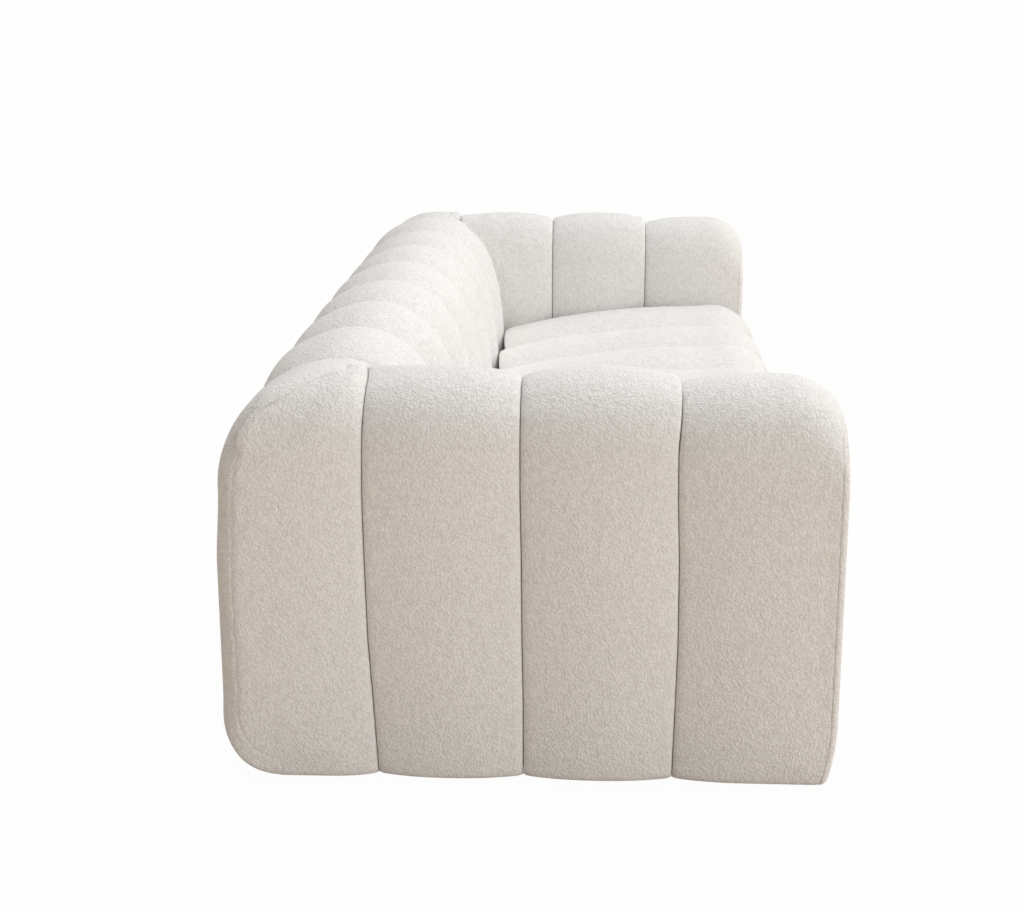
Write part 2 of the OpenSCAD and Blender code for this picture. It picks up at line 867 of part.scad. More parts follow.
module bolt(length) {
    head_r = bolt_flats/sqrt(3);
    cylinder(r = head_r, h = bolt_head_h, $fn = 6);
    cylinder(d = bolt_d, h = length);
}

module nut() {
    difference() {
        cylinder(r = bolt_flats/sqrt(3), h = bolt_head_h, $fn = 6);
        translate([0, 0, -over]) cylinder(r = bolt_d/2 + fit/4, h = bolt_head_h + 2*over);
    }
}

module frame_bolts() {
    x = -arm_mid_x - post_half + over;
    rib_end = -inner_x + fit + rib_t + fit;
    rail_end = -side_rail_x + fit;
    color("silver") both_sides() at_bolts() {
        translate([0, 0, x]) {
            bolt(rib_end + 2*bolt_head_h - x);
            translate([0, 0, rib_end - x]) nut();
        }
        translate([0, 0, x]) {
            bolt(rail_end + 2*bolt_head_h - x);
            translate([0, 0, rail_end - x]) nut();
        }
    }
}

for (i = [1:seat_channels]) {
    seat_channel(i);
    back_channel(i);
}
for (i = [1:4]) {
    arm_channel(i);
    mirror([1, 0, 0]) arm_channel(i);
}
corner_channel();  // left_corner_channel
mirror([1, 0, 0]) corner_channel();  // right_corner_channel
arm_front_cap();  // left_arm_front_cap
mirror([1, 0, 0]) arm_front_cap();  // right_arm_front_cap
seat_foam();
back_foam();
arm_foam();  // left_arm_foam
mirror([1, 0, 0]) arm_foam();  // right_arm_foam
corner_foam();  // left_corner_foam
mirror([1, 0, 0]) corner_foam();  // right_corner_foam
spring_felt();
back_webbing();
dust_cover();
seat_front_rail();
seat_rear_rail();
seat_side_rails();
seat_stretchers();
corner_blocks();
back_ribs();
back_top_rail();
back_bottom_rail();
back_outer_panel();
arm_posts();  // left_arm_posts
mirror([1, 0, 0]) arm_posts();  // right_arm_posts
arm_top_rail();  // left_arm_top_rail
mirror([1, 0, 0]) arm_top_rail();  // right_arm_top_rail
arm_bottom_rail();  // left_arm_bottom_rail
mirror([1, 0, 0]) arm_bottom_rail();  // right_arm_bottom_rail
arm_outer_panel();  // left_arm_outer_panel
mirror([1, 0, 0]) arm_outer_panel();  // right_arm_outer_panel
arm_inner_panel();  // left_arm_inner_panel
mirror([1, 0, 0]) arm_inner_panel();  // right_arm_inner_panel
corner_posts();
seat_springs();
spring_clips();
tie_wires();
glides();
frame_bolts();
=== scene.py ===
"""Channelled tuxedo sofa in looped boucle: every pad, the foam and cloth under it, and each finish.

All lengths are in metres in the part's frame: X runs along the sofa, -Y is the front, +Z is up.
A pad is a lattice of points: along its route, across its width, and through its depth.
"""
import logging
from dataclasses import dataclass, field, replace
from enum import Enum
from math import asin, cos, pi, radians, sin, sqrt
from typing import Sequence

import bmesh
import bpy
import numpy as np
from mathutils import Matrix, Vector


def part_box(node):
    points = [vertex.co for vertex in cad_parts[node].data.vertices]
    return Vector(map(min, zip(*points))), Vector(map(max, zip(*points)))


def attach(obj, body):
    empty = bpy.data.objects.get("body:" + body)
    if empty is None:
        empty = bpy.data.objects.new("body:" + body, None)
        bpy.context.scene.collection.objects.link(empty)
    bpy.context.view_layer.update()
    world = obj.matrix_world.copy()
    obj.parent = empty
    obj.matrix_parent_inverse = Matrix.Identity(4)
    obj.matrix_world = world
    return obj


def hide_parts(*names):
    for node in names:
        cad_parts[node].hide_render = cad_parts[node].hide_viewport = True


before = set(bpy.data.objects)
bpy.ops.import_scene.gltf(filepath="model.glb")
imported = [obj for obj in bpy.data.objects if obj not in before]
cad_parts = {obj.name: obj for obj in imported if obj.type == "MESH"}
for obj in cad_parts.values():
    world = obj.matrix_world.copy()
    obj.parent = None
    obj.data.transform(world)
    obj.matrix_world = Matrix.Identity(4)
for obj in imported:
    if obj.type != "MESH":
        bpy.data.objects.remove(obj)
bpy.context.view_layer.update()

LOG = logging.getLogger("sofa")
Colour = tuple[float, float, float]
Grid = np.ndarray


class Side(Enum):
    """The two ends of the sofa, with the sign of their X."""

    LEFT = -1
    RIGHT = 1

    @property
    def label(self) -> str:
        """The word that the names of its pieces start with."""
        return self.name.lower()


# Sizes

@dataclass(frozen=True)
class Sizes:
    """The sofa's own sizes.

    Args:
        channel: width of a channel of the seat and of the back.
        seat_channels: how many of them there are.
        arm: thickness of an arm.
        arm_channel: width of an arm's channel.
        half_depth: half the sofa's depth.
        height: height of the arms and of the back.
        gap: height of the covers' hem over the floor.
        rear_r: radius of the roll from the top down to the rear.
        rear_base_r: radius at the foot of the rear.
        front_r: radius of an arm's top at its front.
        back_front_r: radius of the roll from the back's inner face to its top.
        lean_r: radius of the back's hollow lean.
        lean_share: sine of the angle that the lean turns through.
        seat_height: height of the seat.
        seat_crest: distance from the front to the seat's highest line.
        seat_crown_r: radius of the seat's fall from there to the back.
        nose_r: radius of the seat's front edge.
        base_r: radius under the seat's front.
        foot_r: radius at the foot of an arm.
        side_band: width of the corner channel's band on an arm's outer face.
        corner_r: radius of that band's upright edge.
        pad: depth of a pad.
        border: depth of the corner channel.
        cap: depth of an arm's front pad.
        foam: thickness of the foam under the back's pads.
        deck: height of the seat's deck.
        seam: room between two pads.
        strap: width of a webbing strap.
        strap_thick: its thickness.
        straps: how many straps there are.
    """

    channel: float = 0.250
    seat_channels: int = 7
    arm: float = 0.225
    arm_channel: float = 0.246
    half_depth: float = 0.500
    height: float = 0.670
    gap: float = 0.006
    rear_r: float = 0.180
    rear_base_r: float = 0.100
    front_r: float = 0.100
    back_front_r: float = 0.155
    lean_r: float = 0.705
    lean_share: float = 0.352
    seat_height: float = 0.434
    seat_crest: float = 0.160
    seat_crown_r: float = 1.900
    nose_r: float = 0.100
    base_r: float = 0.042
    foot_r: float = 0.014
    side_band: float = 0.036
    corner_r: float = 0.058
    pad: float = 0.040
    border: float = 0.025
    cap: float = 0.018
    foam: float = 0.025
    deck: float = 0.2552
    seam: float = 0.0006
    strap: float = 0.060
    strap_thick: float = 0.002
    straps: int = 3

    @property
    def inner_x(self) -> float:
        """Half the length of the seat."""
        return self.seat_channels * self.channel / 2

    @property
    def arm_x(self) -> float:
        """Distance of an arm's middle from the sofa's middle."""
        return self.inner_x + self.arm / 2

    @property
    def arm_r(self) -> float:
        """Radius of an arm's round top."""
        return self.arm / 2

    @property
    def spring_z(self) -> float:
        """Height at which an arm's round top starts."""
        return self.height - self.arm_r

    @property
    def crest_y(self) -> float:
        """Place of the back's highest line."""
        return self.half_depth - self.rear_r

    @property
    def lean(self) -> float:
        """Angle that the back's lean turns through, in degrees."""
        return float(np.degrees(asin(self.lean_share)))

    @property
    def back_y(self) -> float:
        """Place of the back's inner face where it meets the seat."""
        lean = radians(self.lean)
        return self.crest_y - self.lean_r + (self.lean_r - self.back_front_r) * cos(lean)

    @property
    def lean_z(self) -> float:
        """Height of the centre of the lean."""
        return (self.height - self.back_front_r
                - (self.lean_r - self.back_front_r) * self.lean_share)

    @property
    def front_seam_y(self) -> float:
        """Seam between an arm's front channel and its front pad."""
        return -self.half_depth + self.cap

    def arm_seam(self, number: int) -> float:
        """Place of an arm's seam, counted from the front, 0 to 3."""
        return self.front_seam_y + number * self.arm_channel


SIZES = Sizes()


# Routes and surfaces

@dataclass(frozen=True)
class Route:
    """A line of straights and arcs in an upright plane, with the covered side on its left.

    Args:
        start: its first place (a, z).
        heading: its first heading in degrees, from +a towards +z.
        parts: (length, 0) for a straight and (radius, turn) for an arc that turns clockwise.
    """

    start: tuple[float, float]
    heading: float
    parts: tuple[tuple[float, float], ...]

    def lengths(self) -> list[float]:
        """Length of each part."""
        return [size if turn == 0 else size * radians(turn) for size, turn in self.parts]

    @property
    def length(self) -> float:
        """Length of the whole route."""
        return sum(self.lengths())

    def at(self, s: Grid, depth: Grid | float = 0.0) -> tuple[Grid, Grid, Grid, Grid]:
        """Places at distances along the route and at a depth below it.

        A straight gives start + s * heading; an arc gives centre + radius * normal, where the
        normal turns back by s / radius. The depth is taken off along the normal.

        Args:
            s: distances along the route.
            depth: depth below the route at each distance.

        Returns:
            The places a and z, and the normal's parts along a and z.
        """
        s = np.asarray(s, float)
        a, z = np.zeros_like(s), np.zeros_like(s)
        na, nz = np.zeros_like(s), np.zeros_like(s)
        place, heading, run = np.array(self.start), radians(self.heading), 0.0
        for (size, turn), length in zip(self.parts, self.lengths()):
            here = (s >= run) | (run == 0.0)
            past = s - run
            normal = np.array([-sin(heading), cos(heading)])
            if turn == 0:
                ahead = np.array([cos(heading), sin(heading)])
                for out, value in ((a, place[0] + past * ahead[0]), (z, place[1] + past * ahead[1]),
                                   (na, normal[0]), (nz, normal[1])):
                    out[...] = np.where(here, value, out)
                place = place + length * ahead
            else:
                centre = place - size * normal
                turned = heading - past / size
                for out, value in ((na, -np.sin(turned)), (nz, np.cos(turned))):
                    out[...] = np.where(here, value, out)
                a[...] = np.where(here, centre[0] + size * -np.sin(turned), a)
                z[...] = np.where(here, centre[1] + size * np.cos(turned), z)
                heading -= radians(turn)
                place = centre + size * np.array([-sin(heading), cos(heading)])
            run += length
        return a - depth * na, z - depth * nz, na, nz


def back_route(k: Sizes) -> Route:
    """The back: up its leaning inner face, over the top and down the rear.

    Args:
        k: the sofa's sizes.

    Returns:
        The route, in the YZ plane.
    """
    return Route((k.back_y, k.deck), 90.0, (
        (k.lean_z - k.deck, 0), (k.lean_r, k.lean), (k.back_front_r, 90 - k.lean), (k.rear_r, 90),
        (k.height - k.rear_r - k.gap - k.rear_base_r, 0), (k.rear_base_r, 90)))


def seat_route(k: Sizes) -> Route:
    """The seat: out from under the front, up it, over the nose and back along the seat.

    Args:
        k: the sofa's sizes.

    Returns:
        The route, in the YZ plane.
    """
    nose_z = k.seat_height - k.nose_r
    crest_y = k.seat_crest - k.half_depth
    turn = np.degrees(asin((k.back_y - 0.0004 - crest_y) / k.seat_crown_r))
    return Route((-k.half_depth + k.base_r, k.gap), 180.0, (
        (k.base_r, 90), (nose_z - k.gap - k.base_r, 0), (k.nose_r, 90),
        (k.seat_crest - k.nose_r, 0), (k.seat_crown_r, turn)))


def arm_route(k: Sizes) -> Route:
    """An arm's section: up its inner face, over its round top and down its outer face.

    Args:
        k: the sofa's sizes.

    Returns:
        The route, in the XZ plane, for the right arm.
    """
    return Route((k.inner_x, k.deck), 90.0, (
        (k.spring_z - k.deck, 0), (k.arm_r, 180), (k.spring_z - k.gap, 0)))


def corner_route(k: Sizes) -> Route:
    """The back's outline where it is carried on to an arm, from just under its front roll.

    Args:
        k: the sofa's sizes.

    Returns:
        The route, in the YZ plane.
    """
    lean = radians(k.lean)
    return Route((k.crest_y - k.back_front_r * cos(lean) - k.border * sin(lean),
                  k.height - k.back_front_r + k.back_front_r * sin(lean) - k.border * cos(lean)),
                 90 - k.lean, (
        (k.border, 0), (k.back_front_r, 90 - k.lean), (k.rear_r, 90),
        (k.height - k.rear_r - k.gap - k.rear_base_r, 0), (k.rear_base_r, 90)))


@dataclass
class Skin:
    """A closed surface of quads.

    Args:
        points: places, one row each.
        faces: point numbers of each quad.
        free: how far each point may follow the cloth, from 0 where it is sewn down.
    """

    points: Grid
    faces: Grid
    free: Grid

    def volume(self) -> float:
        """Signed volume: the sum over triangles of a . (b x c) / 6.

        Returns:
            The volume, negative where the faces point inwards.
        """
        quads = self.points[self.faces]
        total = 0.0
        for a, b, c in ((0, 1, 2), (0, 2, 3)):
            total += np.einsum("ij,ij->", quads[:, a], np.cross(quads[:, b], quads[:, c])) / 6
        return float(total)

    def outward(self) -> "Skin":
        """The same surface with its faces pointing outwards.

        Returns:
            The surface itself.
        """
        if self.volume() < 0:
            self.faces = self.faces[:, ::-1]
        return self


def quads_of(numbers: Grid) -> Grid:
    """Quads between the neighbouring rows and columns of a grid of point numbers.

    Args:
        numbers: point numbers, (rows, columns).

    Returns:
        The four point numbers of each quad, one row each.
    """
    return np.stack([numbers[:-1, :-1], numbers[1:, :-1], numbers[1:, 1:], numbers[:-1, 1:]],
                    axis=-1).reshape(-1, 4)


def shell(outer: Grid, base: Grid, free: Grid | None = None, layers: int = 3) -> Skin:
    """The closed surface of a lattice between an outer grid and a base grid.

    Layer k lies at base + (outer - base) * k / (layers - 1), and only the points on the lattice's
    six sides are kept.

    Args:
        outer: places of the outer grid, (rows, columns, 3).
        base: places of the base grid, of the same shape.
        free: how free each point of the outer grid is.
        layers: number of layers through the depth.

    Returns:
        The surface, its faces outwards.
    """
    share = np.linspace(0.0, 1.0, layers)[:, None, None, None]
    points = base[None] + (outer - base)[None] * share
    n = np.arange(points[..., 0].size).reshape(points.shape[:3])
    sides = [n[-1], n[0][:, ::-1], n[:, 0], n[:, -1][:, ::-1], n[:, :, 0][:, ::-1], n[:, :, -1]]
    faces = np.concatenate([quads_of(side) for side in sides])
    loose = np.zeros(points.shape[:3])
    if free is not None:
        loose[-1] = free
    used, faces = np.unique(faces, return_inverse=True)
    skin = Skin(points.reshape(-1, 3)[used], faces.reshape(-1, 4), loose.reshape(-1)[used])
    return skin.outward()


def between(low: Grid, high: Grid, fine: Sequence[float], pitch: float) -> Grid:
    """Columns from one side line to another, close together near both.

    Near each line the columns lie at the fine offsets, shrunk where the room is narrow, and
    between them at even shares.

    Args:
        low: side line, one value for each row.
        high: the other side line.
        fine: offsets from a line, from 0.
        pitch: widest distance between columns elsewhere.

    Returns:
        Values of shape (rows, columns).
    """
    low, high = np.asarray(low, float)[:, None], np.asarray(high, float)[:, None]
    near = np.array(fine)[None]
    width = high - low
    near = near * np.minimum(1.0, width / (4 * near.max()))
    count = max(3, int(np.ceil((width.max() - 2 * fine[-1]) / pitch)))
    share = (np.arange(1, count) / count)[None]
    first, last = low + near[:, -1:], high - near[:, -1:]
    middle = first + (last - first) * share
    return np.concatenate([low + near, middle, high - near[:, ::-1]], axis=1)


def along(length: float, pitch: float, fine: Sequence[float]) -> Grid:
    """Distances along a route, close together at both ends."""
    return between(np.zeros(1), np.array([length]), fine, pitch)[0]


def eased(x: Grid, stops: Sequence[float], values: Sequence[float]) -> Grid:
    """A line through values at given stops that levels out at each of them.

    Between two stops the share t of the way counts as t * t * (3 - 2 * t).

    Args:
        x: where the line is wanted.
        stops: places of the values, rising.
        values: the line's value at each stop.

    Returns:
        The line's value at each x, held level outside the stops.
    """
    x = np.asarray(x, float)
    stops, values = np.array(stops), np.array(values)
    place = np.clip(np.searchsorted(stops, x, side="right") - 1, 0, len(stops) - 2)
    t = np.clip((x - stops[place]) / (stops[place + 1] - stops[place]), 0, 1)
    return values[place] + (values[place + 1] - values[place]) * t * t * (3 - 2 * t)


def rounded(e: Grid, r: float) -> Grid:
    """Depth of a quarter circle of radius r at a distance e from its end."""
    return r - np.sqrt(r ** 2 - np.clip(r - e, 0, r) ** 2)


def waves(x: Grid, seed: int, shortest: float, longest: float, count: int = 5) -> Grid:
    """A smooth uneven line: sines of chosen lengths and phases, summed, of about unit height.

    Args:
        x: distances along the line.
        seed: number that the draws start from.
        shortest: shortest wave.
        longest: longest wave.
        count: number of sines.

    Returns:
        The height at each distance.
    """
    rng = np.random.default_rng(seed)
    lengths = rng.uniform(shortest, longest, count)
    phases = rng.uniform(0, 2 * pi, count)
    return np.sin(2 * pi * np.asarray(x)[..., None] / lengths + phases).sum(-1) / sqrt(count)


# Offsets of the first points from a seam: close together, so that the rolled edge is round
FINE = (0.0, 0.0010, 0.0026, 0.0048, 0.0080, 0.0125, 0.0190, 0.0280)


@dataclass(frozen=True)
class Crown:
    """How a pad's surface falls away towards a seam.

    Args:
        drop: depth of the crown's fall at the seam.
        power: how square the crown is.
        roll: width of the rolled edge at the seam.
        tuck: further depth of that edge.
        slack: how far below its full height the pad starts, before the cloth fills out.
        pucker: height of the gathers beside a seam.
        reach: how far the gathers run from the seam.
    """

    drop: float = 0.036
    power: float = 2.2
    roll: float = 0.0120
    tuck: float = 0.0100
    slack: float = 0.0020
    pucker: float = 0.0009
    reach: float = 0.022

    def fall(self, e: Grid, half: Grid | float) -> Grid:
        """The crown's depth: drop * (1 - e / half) ^ power, at a distance e from the seam."""
        return self.drop * np.clip(1 - e / half, 0, 1) ** self.power

    def edge(self, e: Grid) -> Grid:
        """The rolled edge's depth: a quarter of an ellipse, tuck deep and roll wide."""
        inside = np.clip(1 - e / self.roll, 0, 1)
        return self.tuck * (1 - np.sqrt(1 - inside ** 2))

    def gather(self, e: Grid, s: Grid, seed: int) -> Grid:
        """Gathers beside a seam: an uneven line that dies away with the distance from it."""
        return self.pucker * np.exp(-np.maximum(e, 0) / self.reach) * waves(s, seed, 0.030, 0.070)

    def looseness(self, e: Grid) -> Grid:
        """How free the cover is: 0 at the seam, rising to 1 over 30 mm."""
        share = np.clip((e - 0.004) / 0.030, 0, 1)
        return share * share * (3 - 2 * share)

    def rolled(self, roll: float, tuck: float) -> "Crown":
        """The same crown with another rolled edge."""
        return replace(self, roll=roll, tuck=tuck)


CROWN = Crown()
ARM_CROWN = Crown(drop=0.016, power=2.3, roll=0.0120, tuck=0.0060)
SMALL_EDGE = Crown(drop=0.0, roll=0.0060, tuck=0.0008)


# Making objects

def add_mesh(name: str, skin: Skin) -> bpy.types.Object:
    """Puts a surface into a new object at the origin, smooth shaded.

    Args:
        name: the object's name.
        skin: the surface.

    Returns:
        The object, linked to the scene.
    """
    mesh = bpy.data.meshes.new(name)
    mesh.from_pydata(skin.points.tolist(), [], skin.faces.tolist())
    mesh.validate()
    mesh.shade_smooth()
    made = bpy.data.objects.new(name, mesh)
    bpy.context.scene.collection.objects.link(made)
    return made


def subdivide(piece: bpy.types.Object, levels: int = 1) -> None:
    """Adds one smoothing subdivision, the same in the view and in the render.

    Args:
        piece: the object to smooth.
        levels: how many times each face is split.
    """
    step = piece.modifiers.new("Smooth", "SUBSURF")
    step.levels = step.render_levels = levels
    step.boundary_smooth = "PRESERVE_CORNERS"


def places_of(mesh: bpy.types.Mesh) -> Grid:
    """A mesh's points as an array.

    Args:
        mesh: the mesh.

    Returns:
        Places, one row each.
    """
    out = np.empty(len(mesh.vertices) * 3, np.float32)
    mesh.vertices.foreach_get("co", out)
    return out.reshape(-1, 3).astype(float)


@dataclass
class Upholstery:
    """Fills out all the covers at once as sewn cloth under pressure.

    Args:
        frames: steps of the simulation.
        pressure: pressure inside the covers.
        most: furthest that a point may move.
        waiting: the covers that are still to be filled out.
    """

    frames: int = 14
    pressure: float = 4.0
    most: float = 0.0045
    waiting: list[bpy.types.Object] = field(default_factory=list)

    def add(self, piece: bpy.types.Object, free: Grid) -> None:
        """Sets a piece down for the simulation, its seams and base held.

        Args:
            piece: the cover.
            free: how free each of its points is, from 0 to 1.
        """
        held = piece.vertex_groups.new(name="held")
        for share in np.unique(np.round(1 - free, 2)):
            if share > 0:
                chosen = np.flatnonzero(np.round(1 - free, 2) == share)
                held.add(chosen.tolist(), float(share), "REPLACE")
        self.waiting.append(piece)

    def sew(self, piece: bpy.types.Object) -> None:
        """Makes a cover a stretchy cloth, blown out from inside and held by its group.

        Args:
            piece: the cover.
        """
        cloth = piece.modifiers.new("Cover", "CLOTH")
        cloth.point_cache.frame_start, cloth.point_cache.frame_end = 1, self.frames
        cloth.collision_settings.use_collision = False
        s = cloth.settings
        s.quality, s.mass, s.air_damping = 4, 0.35, 2.0
        s.tension_stiffness = s.compression_stiffness = 20.0
        s.shear_stiffness, s.bending_stiffness = 8.0, 2.0
        s.use_pressure, s.uniform_pressure_force = True, self.pressure
        s.vertex_group_mass = "held"
        s.effector_weights.gravity = 0.0

    def keep(self, piece: bpy.types.Object, after: Grid) -> None:
        """Applies the simulated places to a cover, each point's move held under the limit.

        Args:
            piece: the cover.
            after: where the cloth has put its points.
        """
        before = places_of(piece.data)
        move = after - before
        size = np.linalg.norm(move, axis=1, keepdims=True)
        move *= np.minimum(1.0, self.most / np.maximum(size, 1e-9))
        LOG.info("%s: cover moved %.1f mm at most", piece.name, 1000 * size.max())
        piece.modifiers.remove(piece.modifiers["Cover"])
        piece.data.vertices.foreach_set("co", (before + move).astype(np.float32).ravel())
        piece.data.update()

    def settle(self) -> None:
        """Runs the cloth on all the covers, applies it, and smooths them."""
        for piece in self.waiting:
            self.sew(piece)
        scene = bpy.context.scene
        for number in range(1, self.frames + 1):
            scene.frame_set(number)
        graph = bpy.context.evaluated_depsgraph_get()
        moved = [places_of(piece.evaluated_get(graph).data) for piece in self.waiting]
        for piece, after in zip(self.waiting, moved):
            self.keep(piece, after)
        scene.frame_set(1)
        for piece in self.waiting:
            piece.vertex_groups.clear()
            subdivide(piece)


# Finishes

class Graph:
    """A material's node tree, with short ways to add and join nodes."""

    def __init__(self, name: str, colour: Colour) -> None:
        """Starts a material with one shader and the object's own coordinates.

        Args:
            name: the material's name.
            colour: its colour in a plain view.
        """
        self.material = bpy.data.materials.new(name)
        self.material.diffuse_color = (*colour, 1.0)
        self.material.use_nodes = True
        self.tree = self.material.node_tree
        self.shader = next(n for n in self.tree.nodes if n.type == "BSDF_PRINCIPLED")
        self.place = self.add("ShaderNodeTexCoord").outputs["Object"]

    def add(self, kind: str, links: dict[str | int, object] | None = None,
            **values: object) -> bpy.types.Node:
        """Adds a node, sets its properties, and sets or joins its inputs.

        Args:
            kind: the node's type.
            links: what goes into each input, by its name or number.
            values: the node's properties.

        Returns:
            The node.
        """
        node = self.tree.nodes.new(kind)
        for key, value in values.items():
            setattr(node, key, value)
        for key, value in (links or {}).items():
            self.put(node.inputs[key], value)
        return node

    def put(self, socket: bpy.types.NodeSocket, value: object) -> None:
        """Joins an output to a socket, or sets the socket's value.

        Args:
            socket: the input.
            value: an output of another node, or a value.
        """
        if isinstance(value, bpy.types.NodeSocket):
            self.tree.links.new(value, socket)
        else:
            socket.default_value = value

    def scaled(self, scale: tuple[float, float, float]) -> bpy.types.NodeSocket:
        """The object's coordinates, stretched."""
        return self.add("ShaderNodeMapping", {"Vector": self.place, "Scale": scale}).outputs[0]

    def noise(self, scale: float, detail: float = 2.0, place: bpy.types.NodeSocket | None = None,
              twist: float = 0.0) -> bpy.types.NodeSocket:
        """Cloudy noise, from 0 to 1.

        Args:
            scale: how fine it is.
            detail: how many finer layers it has.
            place: coordinates that it reads; the object's own without it.
            twist: how far it distorts itself.

        Returns:
            The noise.
        """
        return self.add("ShaderNodeTexNoise", {"Vector": place or self.place, "Scale": scale,
                                               "Detail": detail, "Distortion": twist}).outputs[0]

    def cells(self, scale: float,
              place: bpy.types.NodeSocket | None = None) -> bpy.types.NodeSocket:
        """Round cells: how far each place lies from the middle of its cell.

        Args:
            scale: number of cells in a metre.
            place: coordinates that they read; the object's own without it.

        Returns:
            The distance.
        """
        return self.add("ShaderNodeTexVoronoi",
                        {"Vector": place or self.place, "Scale": scale}).outputs[0]

    def sum(self, first: object, second: object, operation: str = "ADD") -> bpy.types.NodeSocket:
        """Two values put together by one operation."""
        return self.add("ShaderNodeMath", {0: first, 1: second}, operation=operation).outputs[0]

    def blend(self, share: object, low: Colour, high: Colour) -> bpy.types.NodeSocket:
        """A colour between two, by a share.

        Args:
            share: 0 for the first colour, 1 for the second.
            low: the first colour.
            high: the second colour.

        Returns:
            The colour.
        """
        node = self.add("ShaderNodeMix", data_type="RGBA")
        self.put(node.inputs[0], share)
        self.put(node.inputs[6], (*low, 1.0))
        self.put(node.inputs[7], (*high, 1.0))
        return node.outputs[2]

    def spread(self, value: object, low: float, high: float,
               to: tuple[float, float] = (0.0, 1.0)) -> bpy.types.NodeSocket:
        """A value stretched from one range to another and held within it.

        Args:
            value: the value.
            low: lowest end of its range.
            high: highest end of its range.
            to: both ends of the new range.

        Returns:
            The stretched value.
        """
        return self.add("ShaderNodeMapRange", {"Value": value, "From Min": low, "From Max": high,
                                               "To Min": to[0], "To Max": to[1]}).outputs[0]

    def bump(self, height: object, depth: float, strength: float = 1.0,
             normal: bpy.types.NodeSocket | None = None) -> bpy.types.NodeSocket:
        """A bump of a real depth, over another one where it is given.

        Args:
            height: the height, from 0 to 1.
            depth: the depth of a height of 1.
            strength: how much of it shows.
            normal: the bump under it.

        Returns:
            The normal.
        """
        node = self.add("ShaderNodeBump",
                        {"Height": height, "Distance": depth, "Strength": strength})
        if normal is not None:
            self.put(node.inputs["Normal"], normal)
        return node.outputs[0]

    def finish(self, **sockets: object) -> bpy.types.Material:
        """Sets the shader's sockets by name, with _ for a space, and gives the material.

        Args:
            sockets: a value or an output for each socket.

        Returns:
            The material.
        """
        for key, value in sockets.items():
            self.put(self.shader.inputs[key.replace("_", " ")], value)
        return self.material


def shade(colour: Colour, factor: float) -> Colour:
    """A colour made lighter or darker."""
    return tuple(min(1.0, c * factor) for c in colour)  # type: ignore[return-value]


@dataclass(frozen=True)
class Boucle:
    """Warm white looped cloth: nubs about 4 mm apart, finer loops on them, and a soft fuzz.

    Args:
        colour: colour of the nubs; the hollows between them are painted darker, as painted shade.
        nub: distance between nubs.
        height: height of the nubs.
    """

    colour: Colour = (0.885, 0.872, 0.855)
    nub: float = 0.0044
    height: float = 0.0014

    def material(self) -> bpy.types.Material:
        """Nubs are rounded cells whose places a noise shifts, and the loops are finer cells.

        Returns:
            The material.
        """
        g = Graph("boucle_cover", self.colour)
        warp = g.add("ShaderNodeTexNoise",
                     {"Vector": g.place, "Scale": 0.8 / self.nub, "Detail": 1.0})
        offset = g.add("ShaderNodeVectorMath", {0: warp.outputs["Color"], 1: (0.5, 0.5, 0.5)},
                       operation="SUBTRACT").outputs[0]
        reach = g.add("ShaderNodeVectorMath", {0: offset, "Scale": self.nub * 0.9},
                      operation="SCALE").outputs[0]
        place = g.add("ShaderNodeVectorMath", {0: g.place, 1: reach}, operation="ADD").outputs[0]
        nubs = g.spread(g.cells(1 / self.nub, place), 0.0, 0.75, (1.0, 0.0))
        loops = g.spread(g.cells(2.3 / self.nub, place), 0.0, 0.75, (1.0, 0.0))
        tufts = g.noise(0.35 / self.nub, 2.0)
        height = g.sum(nubs, g.sum(loops, 0.45, "MULTIPLY"))
        height = g.sum(height, g.sum(tufts, 1.2, "MULTIPLY"))
        # Painted shade: the colour follows the nubs' height, so the hollows between nubs are
        # painted about 15% darker.
        tone = g.sum(g.sum(nubs, g.sum(loops, 0.4, "MULTIPLY")), g.sum(tufts, 1.0, "MULTIPLY"))
        low = (self.colour[0] * 0.85, self.colour[1] * 0.84, self.colour[2] * 0.825)
        colour = g.blend(g.spread(tone, 0.5, 1.5), low, shade(self.colour, 1.02))
        return g.finish(Base_Color=colour, Roughness=0.96, Sheen_Weight=0.22, Sheen_Roughness=0.55,
                        Specular_IOR_Level=0.12, Normal=g.bump(height, self.height, 0.8))


@dataclass(frozen=True)
class Foam:
    """Cream polyurethane foam with open pores of a millimetre."""

    colour: Colour = (0.86, 0.80, 0.62)

    def material(self) -> bpy.types.Material:
        """Pores are dark cells, and age yellows the foam in patches.

        Returns:
            The material.
        """
        g = Graph("seat_foam", self.colour)
        pores = g.cells(700.0)
        patches = g.noise(6.0, 3.0)
        colour = g.blend(g.spread(patches, 0.3, 0.7), self.colour, (0.84, 0.74, 0.50))
        return g.finish(Base_Color=colour, Roughness=0.9, Normal=g.bump(pores, 0.0006, 0.7))


@dataclass(frozen=True)
class Felt:
    """Grey needled felt of mixed fibres."""

    colour: Colour = (0.45, 0.44, 0.42)

    def material(self) -> bpy.types.Material:
        """Fibres are noise drawn out along X and Y, over flecks of colour.

        Returns:
            The material.
        """
        g = Graph("needled_felt", self.colour)
        first = g.noise(240.0, 4.0, g.scaled((0.25, 1.0, 1.0)), 1.2)
        second = g.noise(260.0, 4.0, g.scaled((1.0, 0.25, 1.0)), 1.2)
        fibre = g.sum(first, second, "MAXIMUM")
        colour = g.blend(g.spread(g.noise(90.0, 4.0), 0.35, 0.7), shade(self.colour, 1.2),
                         shade(self.colour, 0.6))
        return g.finish(Base_Color=colour, Roughness=0.98, Sheen_Weight=0.3,
                        Normal=g.bump(fibre, 0.0008, 0.8))


